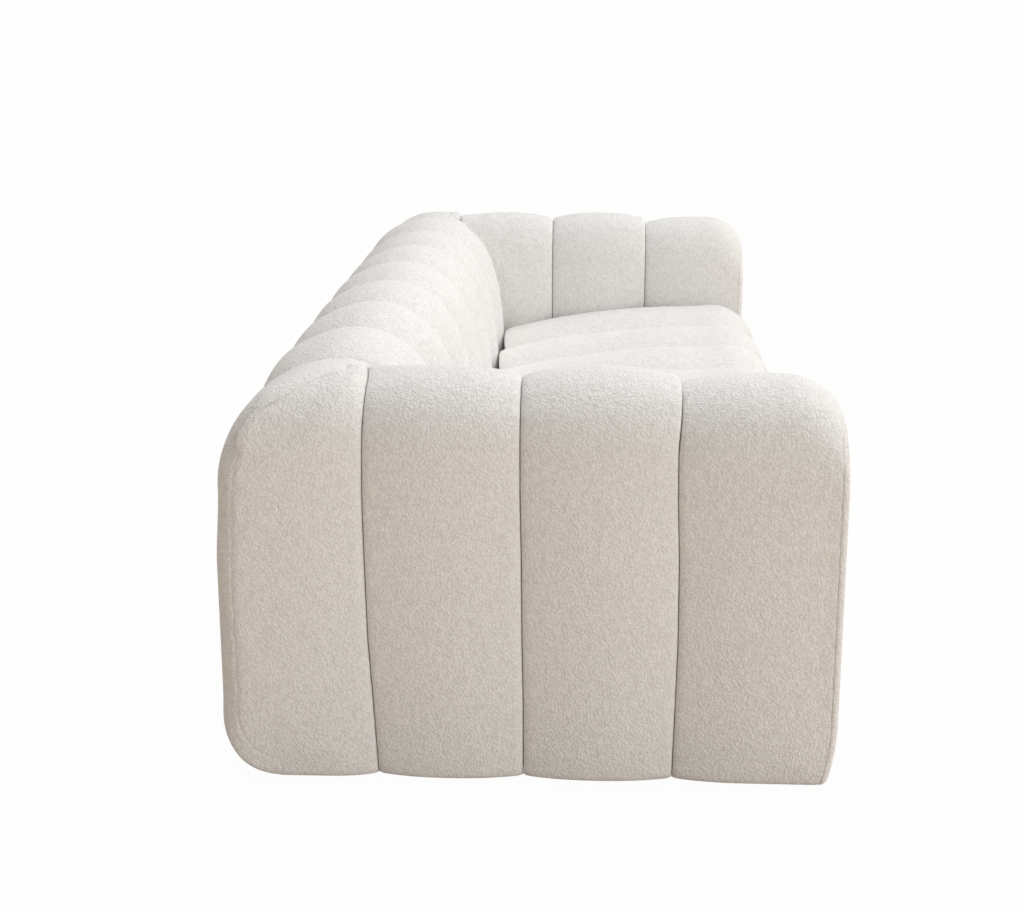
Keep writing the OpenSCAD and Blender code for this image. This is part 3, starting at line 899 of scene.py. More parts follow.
@dataclass(frozen=True)
class Woven:
    """Plain woven cloth: threads run along two axes, over and under.

    Args:
        name: the material's name.
        colour: colour of the threads.
        pitch: distance between threads.
        flat: True where the cloth lies level, False where it stands upright along X.
    """

    name: str
    colour: Colour
    pitch: float
    flat: bool

    def material(self) -> bpy.types.Material:
        """The weave is the product of two sine waves, along X and along the other axis.

        Returns:
            The material.
        """
        g = Graph(self.name, self.colour)
        axes = g.add("ShaderNodeSeparateXYZ", {0: g.place})
        turns = 2 * pi / (2 * self.pitch)
        warp = g.sum(g.sum(axes.outputs[0], turns, "MULTIPLY"), 0.0, "SINE")
        weft = g.sum(g.sum(axes.outputs[1 if self.flat else 2], turns, "MULTIPLY"), 0.0, "SINE")
        weave = g.sum(warp, weft, "MULTIPLY")
        worn = g.noise(25.0, 4.0)
        # Partly painted shade: the colour follows the weave's height, so the threads' low crossings
        # are painted darker; the worn noise adds random tone over it.
        colour = g.blend(g.spread(g.sum(weave, worn, "ADD"), -0.6, 1.4), shade(self.colour, 0.75),
                         shade(self.colour, 1.15))
        return g.finish(Base_Color=colour, Roughness=0.92, Sheen_Weight=0.15,
                        Normal=g.bump(weave, self.pitch * 0.3, 0.7))


class Grain(Enum):
    """Axis that a board's grain runs along."""

    LENGTH = (0.06, 1.0, 1.0)
    DEPTH = (1.0, 0.06, 1.0)
    HEIGHT = (1.0, 1.0, 0.06)


@dataclass(frozen=True)
class Timber:
    """Sawn and planed poplar with year rings drawn out along the board."""

    colour: Colour = (0.72, 0.56, 0.38)

    def material(self, grain: Grain) -> bpy.types.Material:
        """Rings are bands of a stretched and twisted noise, with fine pores over them.

        Args:
            grain: the axis that the board's grain runs along.

        Returns:
            The material.
        """
        g = Graph(f"frame_timber_{grain.name.lower()}", self.colour)
        place = g.scaled(grain.value)
        rings = g.noise(34.0, 3.0, place, 1.4)
        bands = g.sum(g.sum(rings, 38.0, "MULTIPLY"), 0.0, "SINE")
        pores = g.noise(420.0, 3.0, place)
        colour = g.blend(g.spread(bands, -1.0, 1.0), shade(self.colour, 1.08),
                         shade(self.colour, 0.78))
        rough = g.spread(pores, 0.3, 0.7, (0.52, 0.72))
        height = g.sum(g.sum(bands, 0.25, "MULTIPLY"), pores, "ADD")
        return g.finish(Base_Color=colour, Roughness=rough, Normal=g.bump(height, 0.0004, 0.6))


@dataclass(frozen=True)
class Plywood:
    """Birch plywood: plies of 1.5 mm across its thickness, and a faint figure on its faces."""

    colour: Colour = (0.78, 0.64, 0.45)

    def material(self) -> bpy.types.Material:
        """Ply lines are a sine wave across X that shows on the cut edges.

        Returns:
            The material.
        """
        g = Graph("birch_plywood", self.colour)
        x = g.add("ShaderNodeSeparateXYZ", {0: g.place}).outputs[0]
        plies = g.sum(g.sum(x, 2 * pi / 0.003, "MULTIPLY"), 0.0, "SINE")
        figure = g.noise(30.0, 4.0, g.scaled((1.0, 1.0, 0.08)), 1.0)
        share = g.sum(g.sum(plies, 0.25, "MULTIPLY"), figure, "ADD")
        colour = g.blend(g.spread(share, 0.2, 0.9), shade(self.colour, 1.06),
                         shade(self.colour, 0.74))
        return g.finish(Base_Color=colour, Roughness=0.6, Normal=g.bump(share, 0.0003, 0.5))


@dataclass(frozen=True)
class Hardboard:
    """Brown pressed hardboard, one smooth side, with fibre flecks."""

    colour: Colour = (0.42, 0.29, 0.19)

    def material(self) -> bpy.types.Material:
        """Flecks are two sizes of noise, and the pressed side has a low sheen.

        Returns:
            The material.
        """
        g = Graph("hardboard", self.colour)
        flecks = g.noise(160.0, 5.0, None, 0.8)
        fine = g.noise(900.0, 2.0)
        colour = g.blend(g.spread(flecks, 0.35, 0.65), shade(self.colour, 1.2),
                         shade(self.colour, 0.72))
        rough = g.spread(flecks, 0.3, 0.7, (0.42, 0.6))
        return g.finish(Base_Color=colour, Roughness=rough, Normal=g.bump(fine, 0.0002, 0.5))


class Metal(Enum):
    """The metal finishes: name, colour, lowest and highest roughness."""

    SPRING = ("spring_steel", (0.50, 0.50, 0.52), 0.28, 0.42)
    ZINC = ("zinc_plate", (0.66, 0.66, 0.64), 0.30, 0.50)


def metal(kind: Metal) -> bpy.types.Material:
    """Drawn or plated steel: cloudy roughness and a trace of drawing lines.

    Args:
        kind: which metal it is.

    Returns:
        The material.
    """
    name, colour, low, high = kind.value
    g = Graph(name, colour)
    clouds = g.noise(60.0, 4.0)
    lines = g.noise(500.0, 2.0, g.scaled((0.2, 1.0, 1.0)))
    tone = g.blend(g.spread(clouds, 0.3, 0.7), colour, shade(colour, 0.82))
    rough = g.spread(clouds, 0.3, 0.7, (low, high))
    return g.finish(Base_Color=tone, Metallic=1.0, Roughness=rough,
                    Normal=g.bump(lines, 0.0001, 0.4))


@dataclass(frozen=True)
class GlidePlastic:
    """Black moulded plastic, scuffed underneath."""

    colour: Colour = (0.06, 0.06, 0.06)

    def material(self) -> bpy.types.Material:
        """A fine moulded grain, and paler scuffs in clouds.

        Returns:
            The material.
        """
        g = Graph("glide_plastic", self.colour)
        grain = g.cells(1400.0)
        scuffs = g.spread(g.noise(120.0, 5.0, None, 1.5), 0.58, 0.75)
        colour = g.blend(scuffs, self.colour, (0.16, 0.16, 0.155))
        return g.finish(Base_Color=colour, Roughness=g.spread(scuffs, 0, 1, (0.45, 0.7)),
                        Normal=g.bump(grain, 0.0001, 0.4))


# Pads

@dataclass
class Covers:
    """Dresses finished surfaces as pads of the sofa.

    Args:
        cloth: the cover's material.
        work: the simulation that fills the covers out.
    """

    cloth: bpy.types.Material
    work: Upholstery

    def dress(self, name: str, skin: Skin, node: str, fill: float = 0.8) -> bpy.types.Object:
        """Makes one pad, gives it its cover and puts it in the place of its solid.

        Args:
            name: the pad's name.
            skin: its surface.
            node: the solid that it stands for.
            fill: how full of its filling it is; not used.

        Returns:
            The pad.
        """
        piece = add_mesh(name, skin)
        piece.data.materials.append(self.cloth)
        self.work.add(piece, skin.free)
        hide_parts(node)
        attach(piece, "root")
        LOG.info("%s: %d points", name, len(skin.points))
        return piece


# Stops along a route, as shares of it, and how full a pad is at each
SEAT_SWELL = np.array([[0, 0.10, 0.28, 0.41, 0.56, 0.85, 1.0], [0, 0.2, 0.4, 1.0, 0.6, 0.5, 0.4]])
BACK_SWELL = np.array([[0, 0.08, 0.24, 0.33, 0.46, 0.60, 0.92, 1.0],
                       [0, 0, 0.4, 0.55, 0.55, 0.25, 0.2, 0]])

# The same stops, and the share of the crown's fall that is left beside an arm
SEAT_BESIDE = np.array([[0.0, 1.0], [0.35, 0.35]])
BACK_BESIDE = np.array([[0.0, 0.24, 0.36, 1.0], [0.35, 0.35, 0.75, 0.75]])

# Distances past the start of the rear roll, and how far the filling has settled at each
DIP = np.array([[-0.04, 0.09, 0.22, 0.29, 0.42], [0.0, 0.006, 0.013, 0.011, 0.0]])


@dataclass
class StraightPads:
    """The channels of the seat and of the back, all of one width.

    Args:
        covers: what dresses them.
        k: the sofa's sizes.
        crown: how they fall away to their seams.
        pitch: distance between points along and across.
        fullness: how far the middle of a channel stands over its solid, where it is fullest.
        press: how far the outer channels press into the arms.
    """

    covers: Covers
    k: Sizes = SIZES
    crown: Crown = CROWN
    pitch: tuple[float, float] = (0.0115, 0.0145)
    fullness: float = 0.024
    press: float = 0.003

    @staticmethod
    def settling(number: int) -> float:
        """A channel's share of the settling: most at the left end and least at the right."""
        return 0.85 - 0.5 * (number - 4) / 3

    def pad(self, route: Route, number: int, seed: int, first_roll: float, last_roll: float,
            swell: Grid, beside: Grid, dip: Grid | None = None) -> Skin:
        """One channel, swept along a route.

        Its depth below the route is slack - swell + the crown's fall to the nearer seam + the
        rolled edges at the seams and at both ends + gathers beside the seams + a slow unevenness.
        The fall is less near the floor and beside an arm, and the outer pads press on the arms.

        Args:
            route: the line that it follows in the YZ plane.
            number: its place in the row, from 1.
            seed: number that its unevenness starts from.
            first_roll: how much of the rolled edge its first end has.
            last_roll: the same for its last end.
            swell: stops along the route and how full the pad is at each, as shares of the route
                and of the sofa's fullness.
            beside: stops along the route, and the share of the fall that is left beside an arm.
            dip: stops along the route, and how far the filling has settled at each. The row's
                left end has settled more than its right end.

        Returns:
            The pad's surface.
        """
        k, c = self.k, self.crown
        s = along(route.length, self.pitch[0], FINE)
        low = -k.inner_x + (number - 1) * k.channel + k.seam / 2
        high = low + k.channel - k.seam
        low -= self.press * (number == 1)
        high += self.press * (number == k.seat_channels)
        ones = np.ones_like(s)
        x = between(low * ones, high * ones, FINE, self.pitch[1])
        run = np.broadcast_to(s[:, None], x.shape)
        e_low, e_high = x - low, high - x
        e = np.minimum(e_low, e_high)
        half = (high - low) / 2
        full = self.fullness * eased(run / route.length, *swell)
        by_arm = np.where(e_low < e_high, number == 1, number == k.seat_channels)
        if dip is not None:
            full = full - self.settling(number) * eased(run, *dip)
        share = np.where(by_arm, eased(run / route.length, *beside), 1.0)
        share = share * eased(route.at(run)[1], (k.gap, k.gap + 0.10), (0.4, 1.0))
        depth = (c.slack - full + share * (c.fall(e, half) + c.edge(e))
                 + first_roll * c.edge(run / 1.6) + last_roll * c.edge((route.length - run) / 1.6)
                 + c.gather(e_low, run, seed + number) + c.gather(e_high, run, seed + number + 1)
                 + 0.0009 * waves(run, 7 * seed + number, 0.22, 0.5)
                 * np.sin(pi * (x - low) / (2 * half)))
        depth = np.clip(depth, -self.fullness, k.pad - 0.004)
        outer = self.place(route, run, x, depth)
        base = self.place(route, run, x, np.full_like(x, k.pad))
        ends = np.minimum(run, route.length - run)
        return shell(outer, base, c.looseness(np.minimum(e, ends)))

    @staticmethod
    def place(route: Route, s: Grid, x: Grid, depth: Grid) -> Grid:
        """Places of (s, x, depth): the route gives Y and Z, and x is X."""
        y, z, _, _ = route.at(s, depth)
        return np.stack([x, y, z], axis=-1)

    def build(self) -> None:
        """Makes the seat's channels and the back's."""
        seat, back = seat_route(self.k), back_route(self.k)
        dip = DIP + np.array([[sum(back.lengths()[:3])], [0.0]])
        for number in range(1, self.k.seat_channels + 1):
            pad = self.pad(seat, number, 100, 0.3, 0.3, SEAT_SWELL, SEAT_BESIDE)
            self.covers.dress(f"seat_pad_{number}", pad, f"seat_channel_{number}", 0.85)
            pad = self.pad(back, number, 300, 0.0, 0.3, BACK_SWELL, BACK_BESIDE, dip)
            self.covers.dress(f"back_pad_{number}", pad, f"back_channel_{number}", 0.8)


# Heights on an arm's outer face, and how far each seam, counted from the front, bows back there
BOW_HEIGHTS = (0.01, 0.14, 0.24, 0.38, 0.48, 0.56, 0.65)
SEAM_BOWS = {1: (0.003, 0.0, -0.002, -0.001, 0.003, 0.004, -0.002),
             2: (-0.003, -0.003, -0.001, 0.0, 0.002, 0.002, 0.002),
             3: (-0.014, -0.007, -0.001, 0.002, 0.003, 0.001, -0.001)}

# Heights on the rear, and how far its filling has settled at each
SETTLED = np.array([[0.36, 0.48, 0.53, 0.60], [0.0, 0.010, 0.012, 0.012]])

# Places across an arm, and the share of its fall that the second channel keeps beside the back
BY_BACK = np.array([[-0.02, 0.03], [1.0, 0.15]])

# Width and depth of the rolled edges that differ from the arm's: where the rear channel meets the
# corner channel, along the corner channel's inner side, and where the corner channel starts
REAR_ROLL = (0.004, 0.0006)
CORNER_SIDE_ROLL = (0.012, 0.006)
CORNER_START_ROLL = (0.005, 0.0010)

# The front pad's rings past its rounded edge: how far each lies inside the rim, and how far the
# dome has risen there
FRONT_INSET = np.array([0.018, 0.025, 0.034, 0.046, 0.060, 0.076, 0.094, 1.0])
FRONT_DOME = np.array([0.12, 0.3, 0.5, 0.68, 0.82, 0.93, 1.0, 1.0])


@dataclass
class ArmPads:
    """The pads of one arm: four channels, the corner channel and the front pad.

    Args:
        side: the end that the arm stands at.
        covers: what dresses them.
        k: the sofa's sizes.
        crown: how they fall away to their seams.
        pitch: distance between points along and across.
        sag: how much lower the front channel's top has settled.
        underlap: how far the rear channel runs on under the corner channel.
        groin_lap: how far the second channel runs on into the back's roll.
        drawn: how far the arm's front is drawn back at the floor.
        drawn_top: height at which that begins.
        drawn_from: how far in front of the sofa's middle that begins.
        drawn_run: length over which it grows to all of it.
        turn_from: height at which the turn down over the front edge begins.
        rear_start: how far inside the arm's middle the rear channel starts.
        rear_round: share of the corner's wide round that the rear channel has.
        dive: slope at which that channel goes down under the corner channel.
        rim: how far the front pad's rim stands inside the arm's outline.
        toe: radius of the front pad's inner lower corner.
        edge: width and depth of the front pad's rounded edge.
        edge_seat: how far in front of its seam that edge starts to curl.
        dome: rise of the front pad's face.
    """

    side: Side
    covers: Covers
    k: Sizes = SIZES
    crown: Crown = ARM_CROWN
    pitch: tuple[float, float] = (0.0115, 0.0145)
    sag: float = 0.010
    underlap: float = 0.010
    groin_lap: float = 0.024
    drawn: float = 0.016
    drawn_top: float = 0.11
    drawn_from: float = 0.36
    drawn_run: float = 0.12
    turn_from: float = 0.36
    rear_start: float = 0.050
    rear_round: float = 0.7
    dive: float = 0.4
    rim: float = 0.0015
    toe: float = 0.008
    edge: tuple[float, float] = (0.014, 0.0092)
    edge_seat: float = 0.0028
    dome: float = 0.0013

    @property
    def settle(self) -> float:
        """How much of the rear's settling the arm's corner has."""
        return 0.65 if self.side is Side.LEFT else 0.35

    @property
    def seed(self) -> int:
        """Number that the arm's unevenness starts from."""
        return 500 if self.side is Side.LEFT else 700

    def back_face(self, z: Grid) -> Grid:
        """Place of the back's front surface at a height: plumb, then the lean, then the roll.

        Args:
            z: heights.

        Returns:
            The place along Y at each height.
        """
        k = self.k
        lean = k.back_y + k.lean_r - np.sqrt(k.lean_r ** 2 - np.maximum(z - k.lean_z, 0) ** 2)
        rise = np.clip(z - k.height + k.back_front_r, 0, k.back_front_r)
        roll = k.crest_y - np.sqrt(k.back_front_r ** 2 - rise ** 2)
        top = k.lean_z + k.lean_r * k.lean_share
        return np.where(z < top, lean, roll)

    def outline_rear(self, z: Grid, depth: float) -> Grid:
        """Place of the rear outline at a height, a depth inside it.

        Args:
            z: heights.
            depth: how far inside the outline.

        Returns:
            The place along Y at each height.
        """
        k = self.k
        up = np.clip(z - (k.height - k.rear_r), 0, k.rear_r - depth)
        down = np.clip(k.gap + k.rear_base_r - z, 0, k.rear_base_r - depth)
        top = k.crest_y + np.sqrt((k.rear_r - depth) ** 2 - up ** 2)
        foot = k.half_depth - k.rear_base_r + np.sqrt((k.rear_base_r - depth) ** 2 - down ** 2)
        return np.where(z > k.gap + k.rear_base_r, top, foot)

    def settled(self, z: Grid) -> Grid:
        """How far in the rear outline has settled at a height, on its plumb part and its roll.

        Args:
            z: heights.

        Returns:
            The depth at each height.
        """
        return self.settle * np.interp(z, *SETTLED)

    def to_foot(self, run: Grid) -> Grid:
        """How far the corner's wide round has eased into the arm's small one.

        Args:
            run: distances past the start of the foot's arc.

        Returns:
            The share at each distance, from 0 to 1.
        """
        return eased(run, (-0.04, 0.7 * self.k.rear_base_r * pi / 2), (0.0, 1.0))

    def mitre(self, u: Grid) -> Grid:
        """Place of the corner seam across the arm, u from its middle towards the inner side.

        On the inner side it is the groin of the arm's round top and the back's roll; from there it
        turns across the top and runs back to the outer side.

        Args:
            u: places across the arm.

        Returns:
            The seam's place along Y at each.
        """
        k = self.k
        steps = np.radians(np.arange(75, -1, -5))
        z = k.spring_z + k.arm_r * np.sin(steps)
        groin_u, groin_y = k.arm_r * np.cos(steps), self.back_face(z)
        outer_u = -k.arm_r * np.array([1.03, 0.73, 0.24])
        outer_y = k.crest_y + k.rear_r * np.array([0.71, 0.37, -0.2])
        return np.interp(u, np.concatenate([outer_u, groin_u]), np.concatenate([outer_y, groin_y]))

    def nose_fall(self, y: Grid) -> Grid:
        """How far an arm's top has turned down at a place near its front: a quarter circle.

        Args:
            y: places along Y.

        Returns:
            The fall at each.
        """
        k = self.k
        ahead = np.clip(-(y + k.half_depth - k.front_r), 0, k.front_r * 0.9999)
        return k.front_r - np.sqrt(k.front_r ** 2 - ahead ** 2)

    def turned_down(self, points: Grid) -> Grid:
        """Points moved down by the front edge's turn, all of it on the round top, less below.

        Args:
            points: places, (..., 3).

        Returns:
            The moved places.
        """
        rise = self.k.spring_z - self.turn_from
        share = np.clip((points[..., 2] - self.turn_from) / rise, 0, 1)
        moved = points.copy()
        moved[..., 2] -= (self.nose_fall(points[..., 1]) + self.sag) * share
        return moved

    def drawn_in(self, points: Grid) -> Grid:
        """Points drawn back near the floor at the front: drawn * (1 - height / drawn_top) ^ 2.

        Args:
            points: places, (..., 3).

        Returns:
            The moved places.
        """
        share = np.clip(1 - (points[..., 2] - self.k.gap) / self.drawn_top, 0, 1) ** 2
        near = np.clip((-points[..., 1] - self.drawn_from) / self.drawn_run, 0, 1)
        moved = points.copy()
        moved[..., 1] += self.drawn * share * near
        return moved

    def place(self, s: Grid, y: Grid, depth: Grid) -> Grid:
        """Places of (s, y, depth) on the arm: its section's route gives X and Z."""
        a, z, _, _ = arm_route(self.k).at(s, depth)
        return np.stack([self.side.value * a, y, z], axis=-1)

    def seam_line(self, number: int, u: Grid, z: Grid) -> Grid:
        """Place of a seam: straight inside the arm, and bowed a little on its outside.

        Args:
            number: the seam's number, counted from the front.
            u: places across the arm.
            z: heights of the same places.

        Returns:
            The seam's place along Y at each.
        """
        line = np.full_like(z, self.k.arm_seam(number))
        if number in SEAM_BOWS:
            line += np.interp(z, BOW_HEIGHTS, SEAM_BOWS[number]) * np.clip(0.5 - u / 0.05, 0, 1)
        return line

    def band_edge(self, z: Grid) -> Grid:
        """Place of the corner channel's edge on the arm's outer face, at a height."""
        return self.outline_rear(z, self.k.side_band + self.k.seam) - self.settled(z)

    def side_lines(self, number: int, u: Grid, z: Grid) -> tuple[Grid, Grid]:
        """Both side lines of a channel, at each place of the arm's section.

        They are its seams, but the rear channel ends at the corner channel, which is the band's
        edge on the plumb part and the mitre on the round top, and the second channel ends in the
        back's roll on the inner side.

        Args:
            number: the channel's number, 1 at the rear.
            u: places across the arm.
            z: heights of the same places.

        Returns:
            The front line's and the rear line's place along Y at each.
        """
        k = self.k
        low = self.seam_line(4 - number, u, z) + k.seam / 2
        high = self.seam_line(5 - number, u, z) - k.seam / 2
        if number == 1:
            band = self.band_edge(z)
            high = np.where(z > k.spring_z, np.maximum(self.mitre(u), band), band) - k.seam
            high = np.minimum(high, self.outline_rear(z, 0.004))
            high = np.where(u > -0.03, self.mitre(u) - k.seam, high)
            high = np.maximum(high, low + 0.004)
        if number == 2:
            groin = self.back_face(z) + self.groin_lap
            high = np.where(u > 0.02, np.minimum(high, groin), high)
        return low, high

    def rear_edge(self, edge: Grid, e_high: Grid, u: Grid, z: Grid) -> Grid:
        """The rear channel's edge, rounded with the corner channel's and going down under it.

        The wide round counts on the plumb part; it dies away on the round top and at the foot.

        Args:
            edge: the rolled edge's depth.
            e_high: distances from the rear line.
            u: places across the arm, one for each row.
            z: heights, one for each row.

        Returns:
            The edge's whole depth.
        """
        k = self.k
        plumb = (np.clip((self.band_edge(z) - self.mitre(u)) / 0.05, 0, 1)
                 * np.clip(-u / 0.04 - 0.5, 0, 1))
        drop = k.gap + k.rear_base_r - z
        turn = np.arcsin(np.clip(drop / (k.rear_base_r - k.side_band), -1, 1))
        plumb = np.where(z < k.spring_z, 1.0, plumb)
        plumb = plumb * (1 - self.to_foot(np.where(drop > 0, k.rear_base_r * turn, drop)))
        return (edge + self.rear_round * plumb[:, None] * rounded(e_high + k.side_band, k.corner_r)
                + self.dive * np.clip(-e_high, 0, self.underlap))

    def channel(self, number: int) -> Skin:
        """One channel of the arm.

        Its two side lines are functions of the distance s over the arm's section, and its depth
        has the same terms as a straight channel's. A distance to a slanting line is taken square
        to it. The front channel's points then turn down over the front edge.

        Args:
            number: the channel's number, 1 at the rear to 4 at the front.

        Returns:
            The channel's surface.
        """
        k, c, route = self.k, self.crown, arm_route(self.k)
        rear, front = number == 1, number == 4
        length = route.length
        s = along(length, self.pitch[0], FINE)
        if rear:
            first = k.spring_z - k.deck + k.arm_r * np.arccos(self.rear_start / k.arm_r)
            s = first + along(length - first, self.pitch[0], FINE)
        a, z, _, _ = route.at(s)
        u = k.arm_x - a
        low, high = self.side_lines(number, u, z)
        y = between(low, high + self.underlap * rear, FINE, self.pitch[1])
        run = np.broadcast_to(s[:, None], y.shape)
        slant = np.sqrt(1 + np.gradient(high, s) ** 2)[:, None]
        e_low, e_high = y - low[:, None], (high[:, None] - y) / slant
        half = np.minimum((high - low)[:, None] / 2, k.arm_channel / 2)
        seam = self.seed + 10 * (4 - number)
        by_back = eased(u, *BY_BACK)[:, None] if number == 2 else 1.0
        near_edge = (SMALL_EDGE if front else c).edge(e_low)
        far_edge = by_back * (c.rolled(*REAR_ROLL) if rear else c).edge(e_high)
        if rear:
            far_edge = self.rear_edge(far_edge, e_high, u, z)
        share = np.where(e_low < e_high, 0.0 if front else 1.0, (0.0 if rear else 1.0) * by_back)
        across = np.clip(e_low / (2 * half), 0, 1)
        depth = (c.slack + share * c.fall(np.minimum(e_low, e_high), half)
                 + near_edge + far_edge + rounded(length - run, k.foot_r)
                 + c.gather(e_low, run, seam) + c.gather(e_high, run, seam + 10)
                 + 0.0010 * waves(run, seam + 3, 0.22, 0.5) * np.sin(pi * across))
        depth = np.clip(depth, 0.0005, k.pad - 0.004)
        outer = self.place(run, y, depth)
        base = self.place(run, y, np.full_like(y, k.pad))
        if front:
            outer, base = (self.turned_down(self.drawn_in(points)) for points in (outer, base))
        ends = np.minimum(run - s[0], length - run)
        return shell(outer, base, c.looseness(np.minimum(np.minimum(e_low, e_high), ends)))

    def corner_columns(self) -> tuple[Grid, Grid, Grid, Grid]:
        """Columns of the corner channel across the arm, above the foot and at it.

        The first ones wrap round the outer edge, at slack + r * (1 - cos turn) from it and
        r * (1 - sin turn) deep. At the foot they lie down the band and round the arm's small
        radius instead.

        Returns:
            Each column's place and depth, how far it moves at the foot, and its depth there.
        """
        k, c = self.k, self.crown
        wrap = np.linspace(asin(1 - k.side_band / k.corner_r), pi / 2, 11)
        edge_u = -k.arm_r + c.slack + k.corner_r * (1 - np.cos(wrap))
        edge_depth = k.corner_r * (1 - np.sin(wrap))
        edge_u[:3] += np.array([0.0012, 0.0003, 0.0])
        edge_depth[:2] -= np.array([0.0, 0.0016])
        bend = np.linspace(0, pi / 2, 7)
        foot_u = -k.arm_r + c.slack + k.foot_r * np.concatenate([np.zeros(4), 1 - np.cos(bend)])
        foot_depth = np.concatenate([np.linspace(k.side_band, k.foot_r, 5)[:-1],
                                     k.foot_r * (1 - np.sin(bend))])
        flat = between(edge_u[-1:] + 0.004, np.array([k.arm_r - k.seam / 2]), FINE, 0.0125)[0][2:]
        none = np.zeros_like(flat)
        return (np.concatenate([edge_u, flat]), np.concatenate([edge_depth, none]),
                np.concatenate([foot_u - edge_u, none]), np.concatenate([foot_depth, none]))

    def corner_starts(self, route: Route, u: Grid, arch: Grid) -> Grid:
        """Where each column of the corner channel starts, evened out over its neighbours.

        It starts past the mitre, and on the outer half where the pad's base has come out of the
        arm's round top.

        Args:
            route: the corner's route.
            u: places of the columns across the arm.
            arch: height of the arm's round top at each.

        Returns:
            The distance along the route at which each column starts.
        """
        k = self.k
        s = np.arange(0.0, route.length, 0.0005)
        y, z, _, rise = route.at(s)
        sunk = (z[None] - arch[:, None]) / np.maximum(rise[None], 0.12)
        bare = (sunk <= k.border - 0.001) | (u[:, None] > 0)
        ready = (y[None] >= self.mitre(u)[:, None] + k.seam) & bare
        start = s[np.argmax(ready, axis=1)]
        return np.convolve(np.pad(start, 1, mode="edge"), [0.25, 0.5, 0.25], mode="valid")

    def corner(self) -> Skin:
        """The channel that carries the back's outline on to the arm.

        Each column ends under the rear. On the outer half the surface is pressed down to the round
        top: depth = (z - arch(u)) / the normal's rise. The columns that wrap round the outer edge
        go deeper and back in, and their wide round eases into the arm's small one towards the
        foot.

        Returns:
            The channel's surface.
        """
        k, c, route = self.k, self.crown, corner_route(self.k)
        u, extra, to_foot, foot_extra = self.corner_columns()
        arch = k.spring_z + np.sqrt(np.maximum(k.arm_r ** 2 - u ** 2, 0))
        flap = np.clip(extra / k.side_band, 0, 1)
        start = self.corner_starts(route, u, arch)
        rows = between(start, np.full_like(start, route.length), FINE, self.pitch[0]).T
        foot = self.to_foot(rows - sum(route.lengths()[:4]))
        run, across = rows, u[None] + foot * to_foot[None]
        extra = extra[None] + foot * (foot_extra - extra)[None]
        _, z0, _, rise = route.at(run)
        sunk = np.where(across < 0, (z0 - arch[None]) / np.maximum(rise, 0.12), 0)
        sunk = np.clip(np.maximum(sunk, 0), 0, k.border - 0.001)
        bare = 1 - sunk / k.border
        e_in, e_start = k.arm_r - across, run - start[None]
        e_out = across + k.arm_r
        fall = 0.8 * c.fall(e_in, k.arm_r)
        depth = (c.slack + fall + c.rolled(*CORNER_SIDE_ROLL).edge(e_in)
                 + c.rolled(*CORNER_START_ROLL).edge(e_start) * bare
                 + c.gather(e_in, run, self.seed + 61) + c.gather(e_start, across, self.seed + 62))
        depth = np.sqrt(depth ** 2 + sunk ** 2 + extra ** 2)
        dip = self.settle * eased(run - sum(route.lengths()[:2]), *DIP) * bare
        depth = depth + dip
        thick = np.maximum(k.border, extra + 0.002) + dip
        depth = np.clip(depth, 0.0005, thick - 0.0008)
        outer = self.corner_place(route, run, across, depth)
        base = self.corner_place(route, run, across + 0.012 * flap[None], thick)
        ends = np.minimum(e_out, route.length - run)
        loose = c.looseness(np.minimum(np.minimum(e_in, e_start), ends))
        return shell(outer, base, loose * 0.6)

    def corner_place(self, route: Route, s: Grid, u: Grid, depth: Grid) -> Grid:
        """Places of (s, u, depth) on the corner channel: u runs across the arm."""
        y, z, _, _ = route.at(s, depth)
        return np.stack([self.side.value * (self.k.arm_x - u), y, z], axis=-1)

    def front_pad(self) -> Skin:
        """The pad that closes the arm's front.

        Its rim is the arm's section. Rings lie between the rim and a line up the middle, at
        middle + (rim - middle) * share; the outer ones wrap round an ellipse from the seam to the
        front, and the rest rise to a low dome. All turn down with the arm's front edge.

        Returns:
            The pad's surface.
        """
        k = self.k
        r, low, base_r, toe = k.arm_r - self.rim, k.gap + 0.001, k.foot_r, self.toe
        top_z = k.spring_z
        arch = np.linspace(0, pi, 41)
        curl = np.linspace(pi, 1.5 * pi, 9)
        inner = np.linspace(low + toe, top_z, 36)[:-1]
        outer = np.linspace(top_z, k.gap + base_r, 34)[1:-1]
        foot_u = np.linspace(-r + base_r, r - toe, 14)[1:-1]
        small = np.linspace(-pi / 2, 0, 4)[:-1]
        rim_u = np.concatenate([np.full_like(inner, r), r * np.cos(arch), np.full_like(outer, -r),
                                -r + base_r + base_r * np.cos(curl), foot_u,
                                r - toe + toe * np.cos(small)])
        rim_z = np.concatenate([inner, top_z + r * np.sin(arch), outer,
                                low + base_r + base_r * np.sin(curl), np.full_like(foot_u, low),
                                low + toe + toe * np.sin(small)])
        mid_z = np.clip(rim_z, 0.11, top_z)
        reach = np.hypot(rim_u, rim_z - mid_z)
        wrap = np.radians([-14, -4, 10, 30, 50, 70, 90])
        wide, deep = self.edge
        inset = np.concatenate([[0.0070, 0.0022], wide * (1 - np.cos(wrap) ** 0.8), FRONT_INSET])
        ahead = np.concatenate([[-0.0070, -0.0012], self.edge_seat + deep * np.sin(wrap),
                                self.edge_seat + deep + self.dome * FRONT_DOME])
        y = k.front_seam_y - ahead
        share = np.clip(1 - inset[:, None] / reach[None], 0, 1)
        u = rim_u[None] * share
        z = mid_z[None] + (rim_z - mid_z)[None] * share
        x = self.side.value * (k.arm_x - u)
        points = np.stack([x, np.broadcast_to(y[:, None], u.shape), z], axis=-1)
        points = self.turned_down(self.drawn_in(points))
        rim = points[:1].copy()
        middle_x = np.full_like(mid_z, self.side.value * k.arm_x)
        middle = np.stack([middle_x, np.full_like(mid_z, y[0]), mid_z], axis=-1)[None]
        middle = self.turned_down(middle)
        rings = np.concatenate([middle, middle + (rim - middle) * 0.6, points])
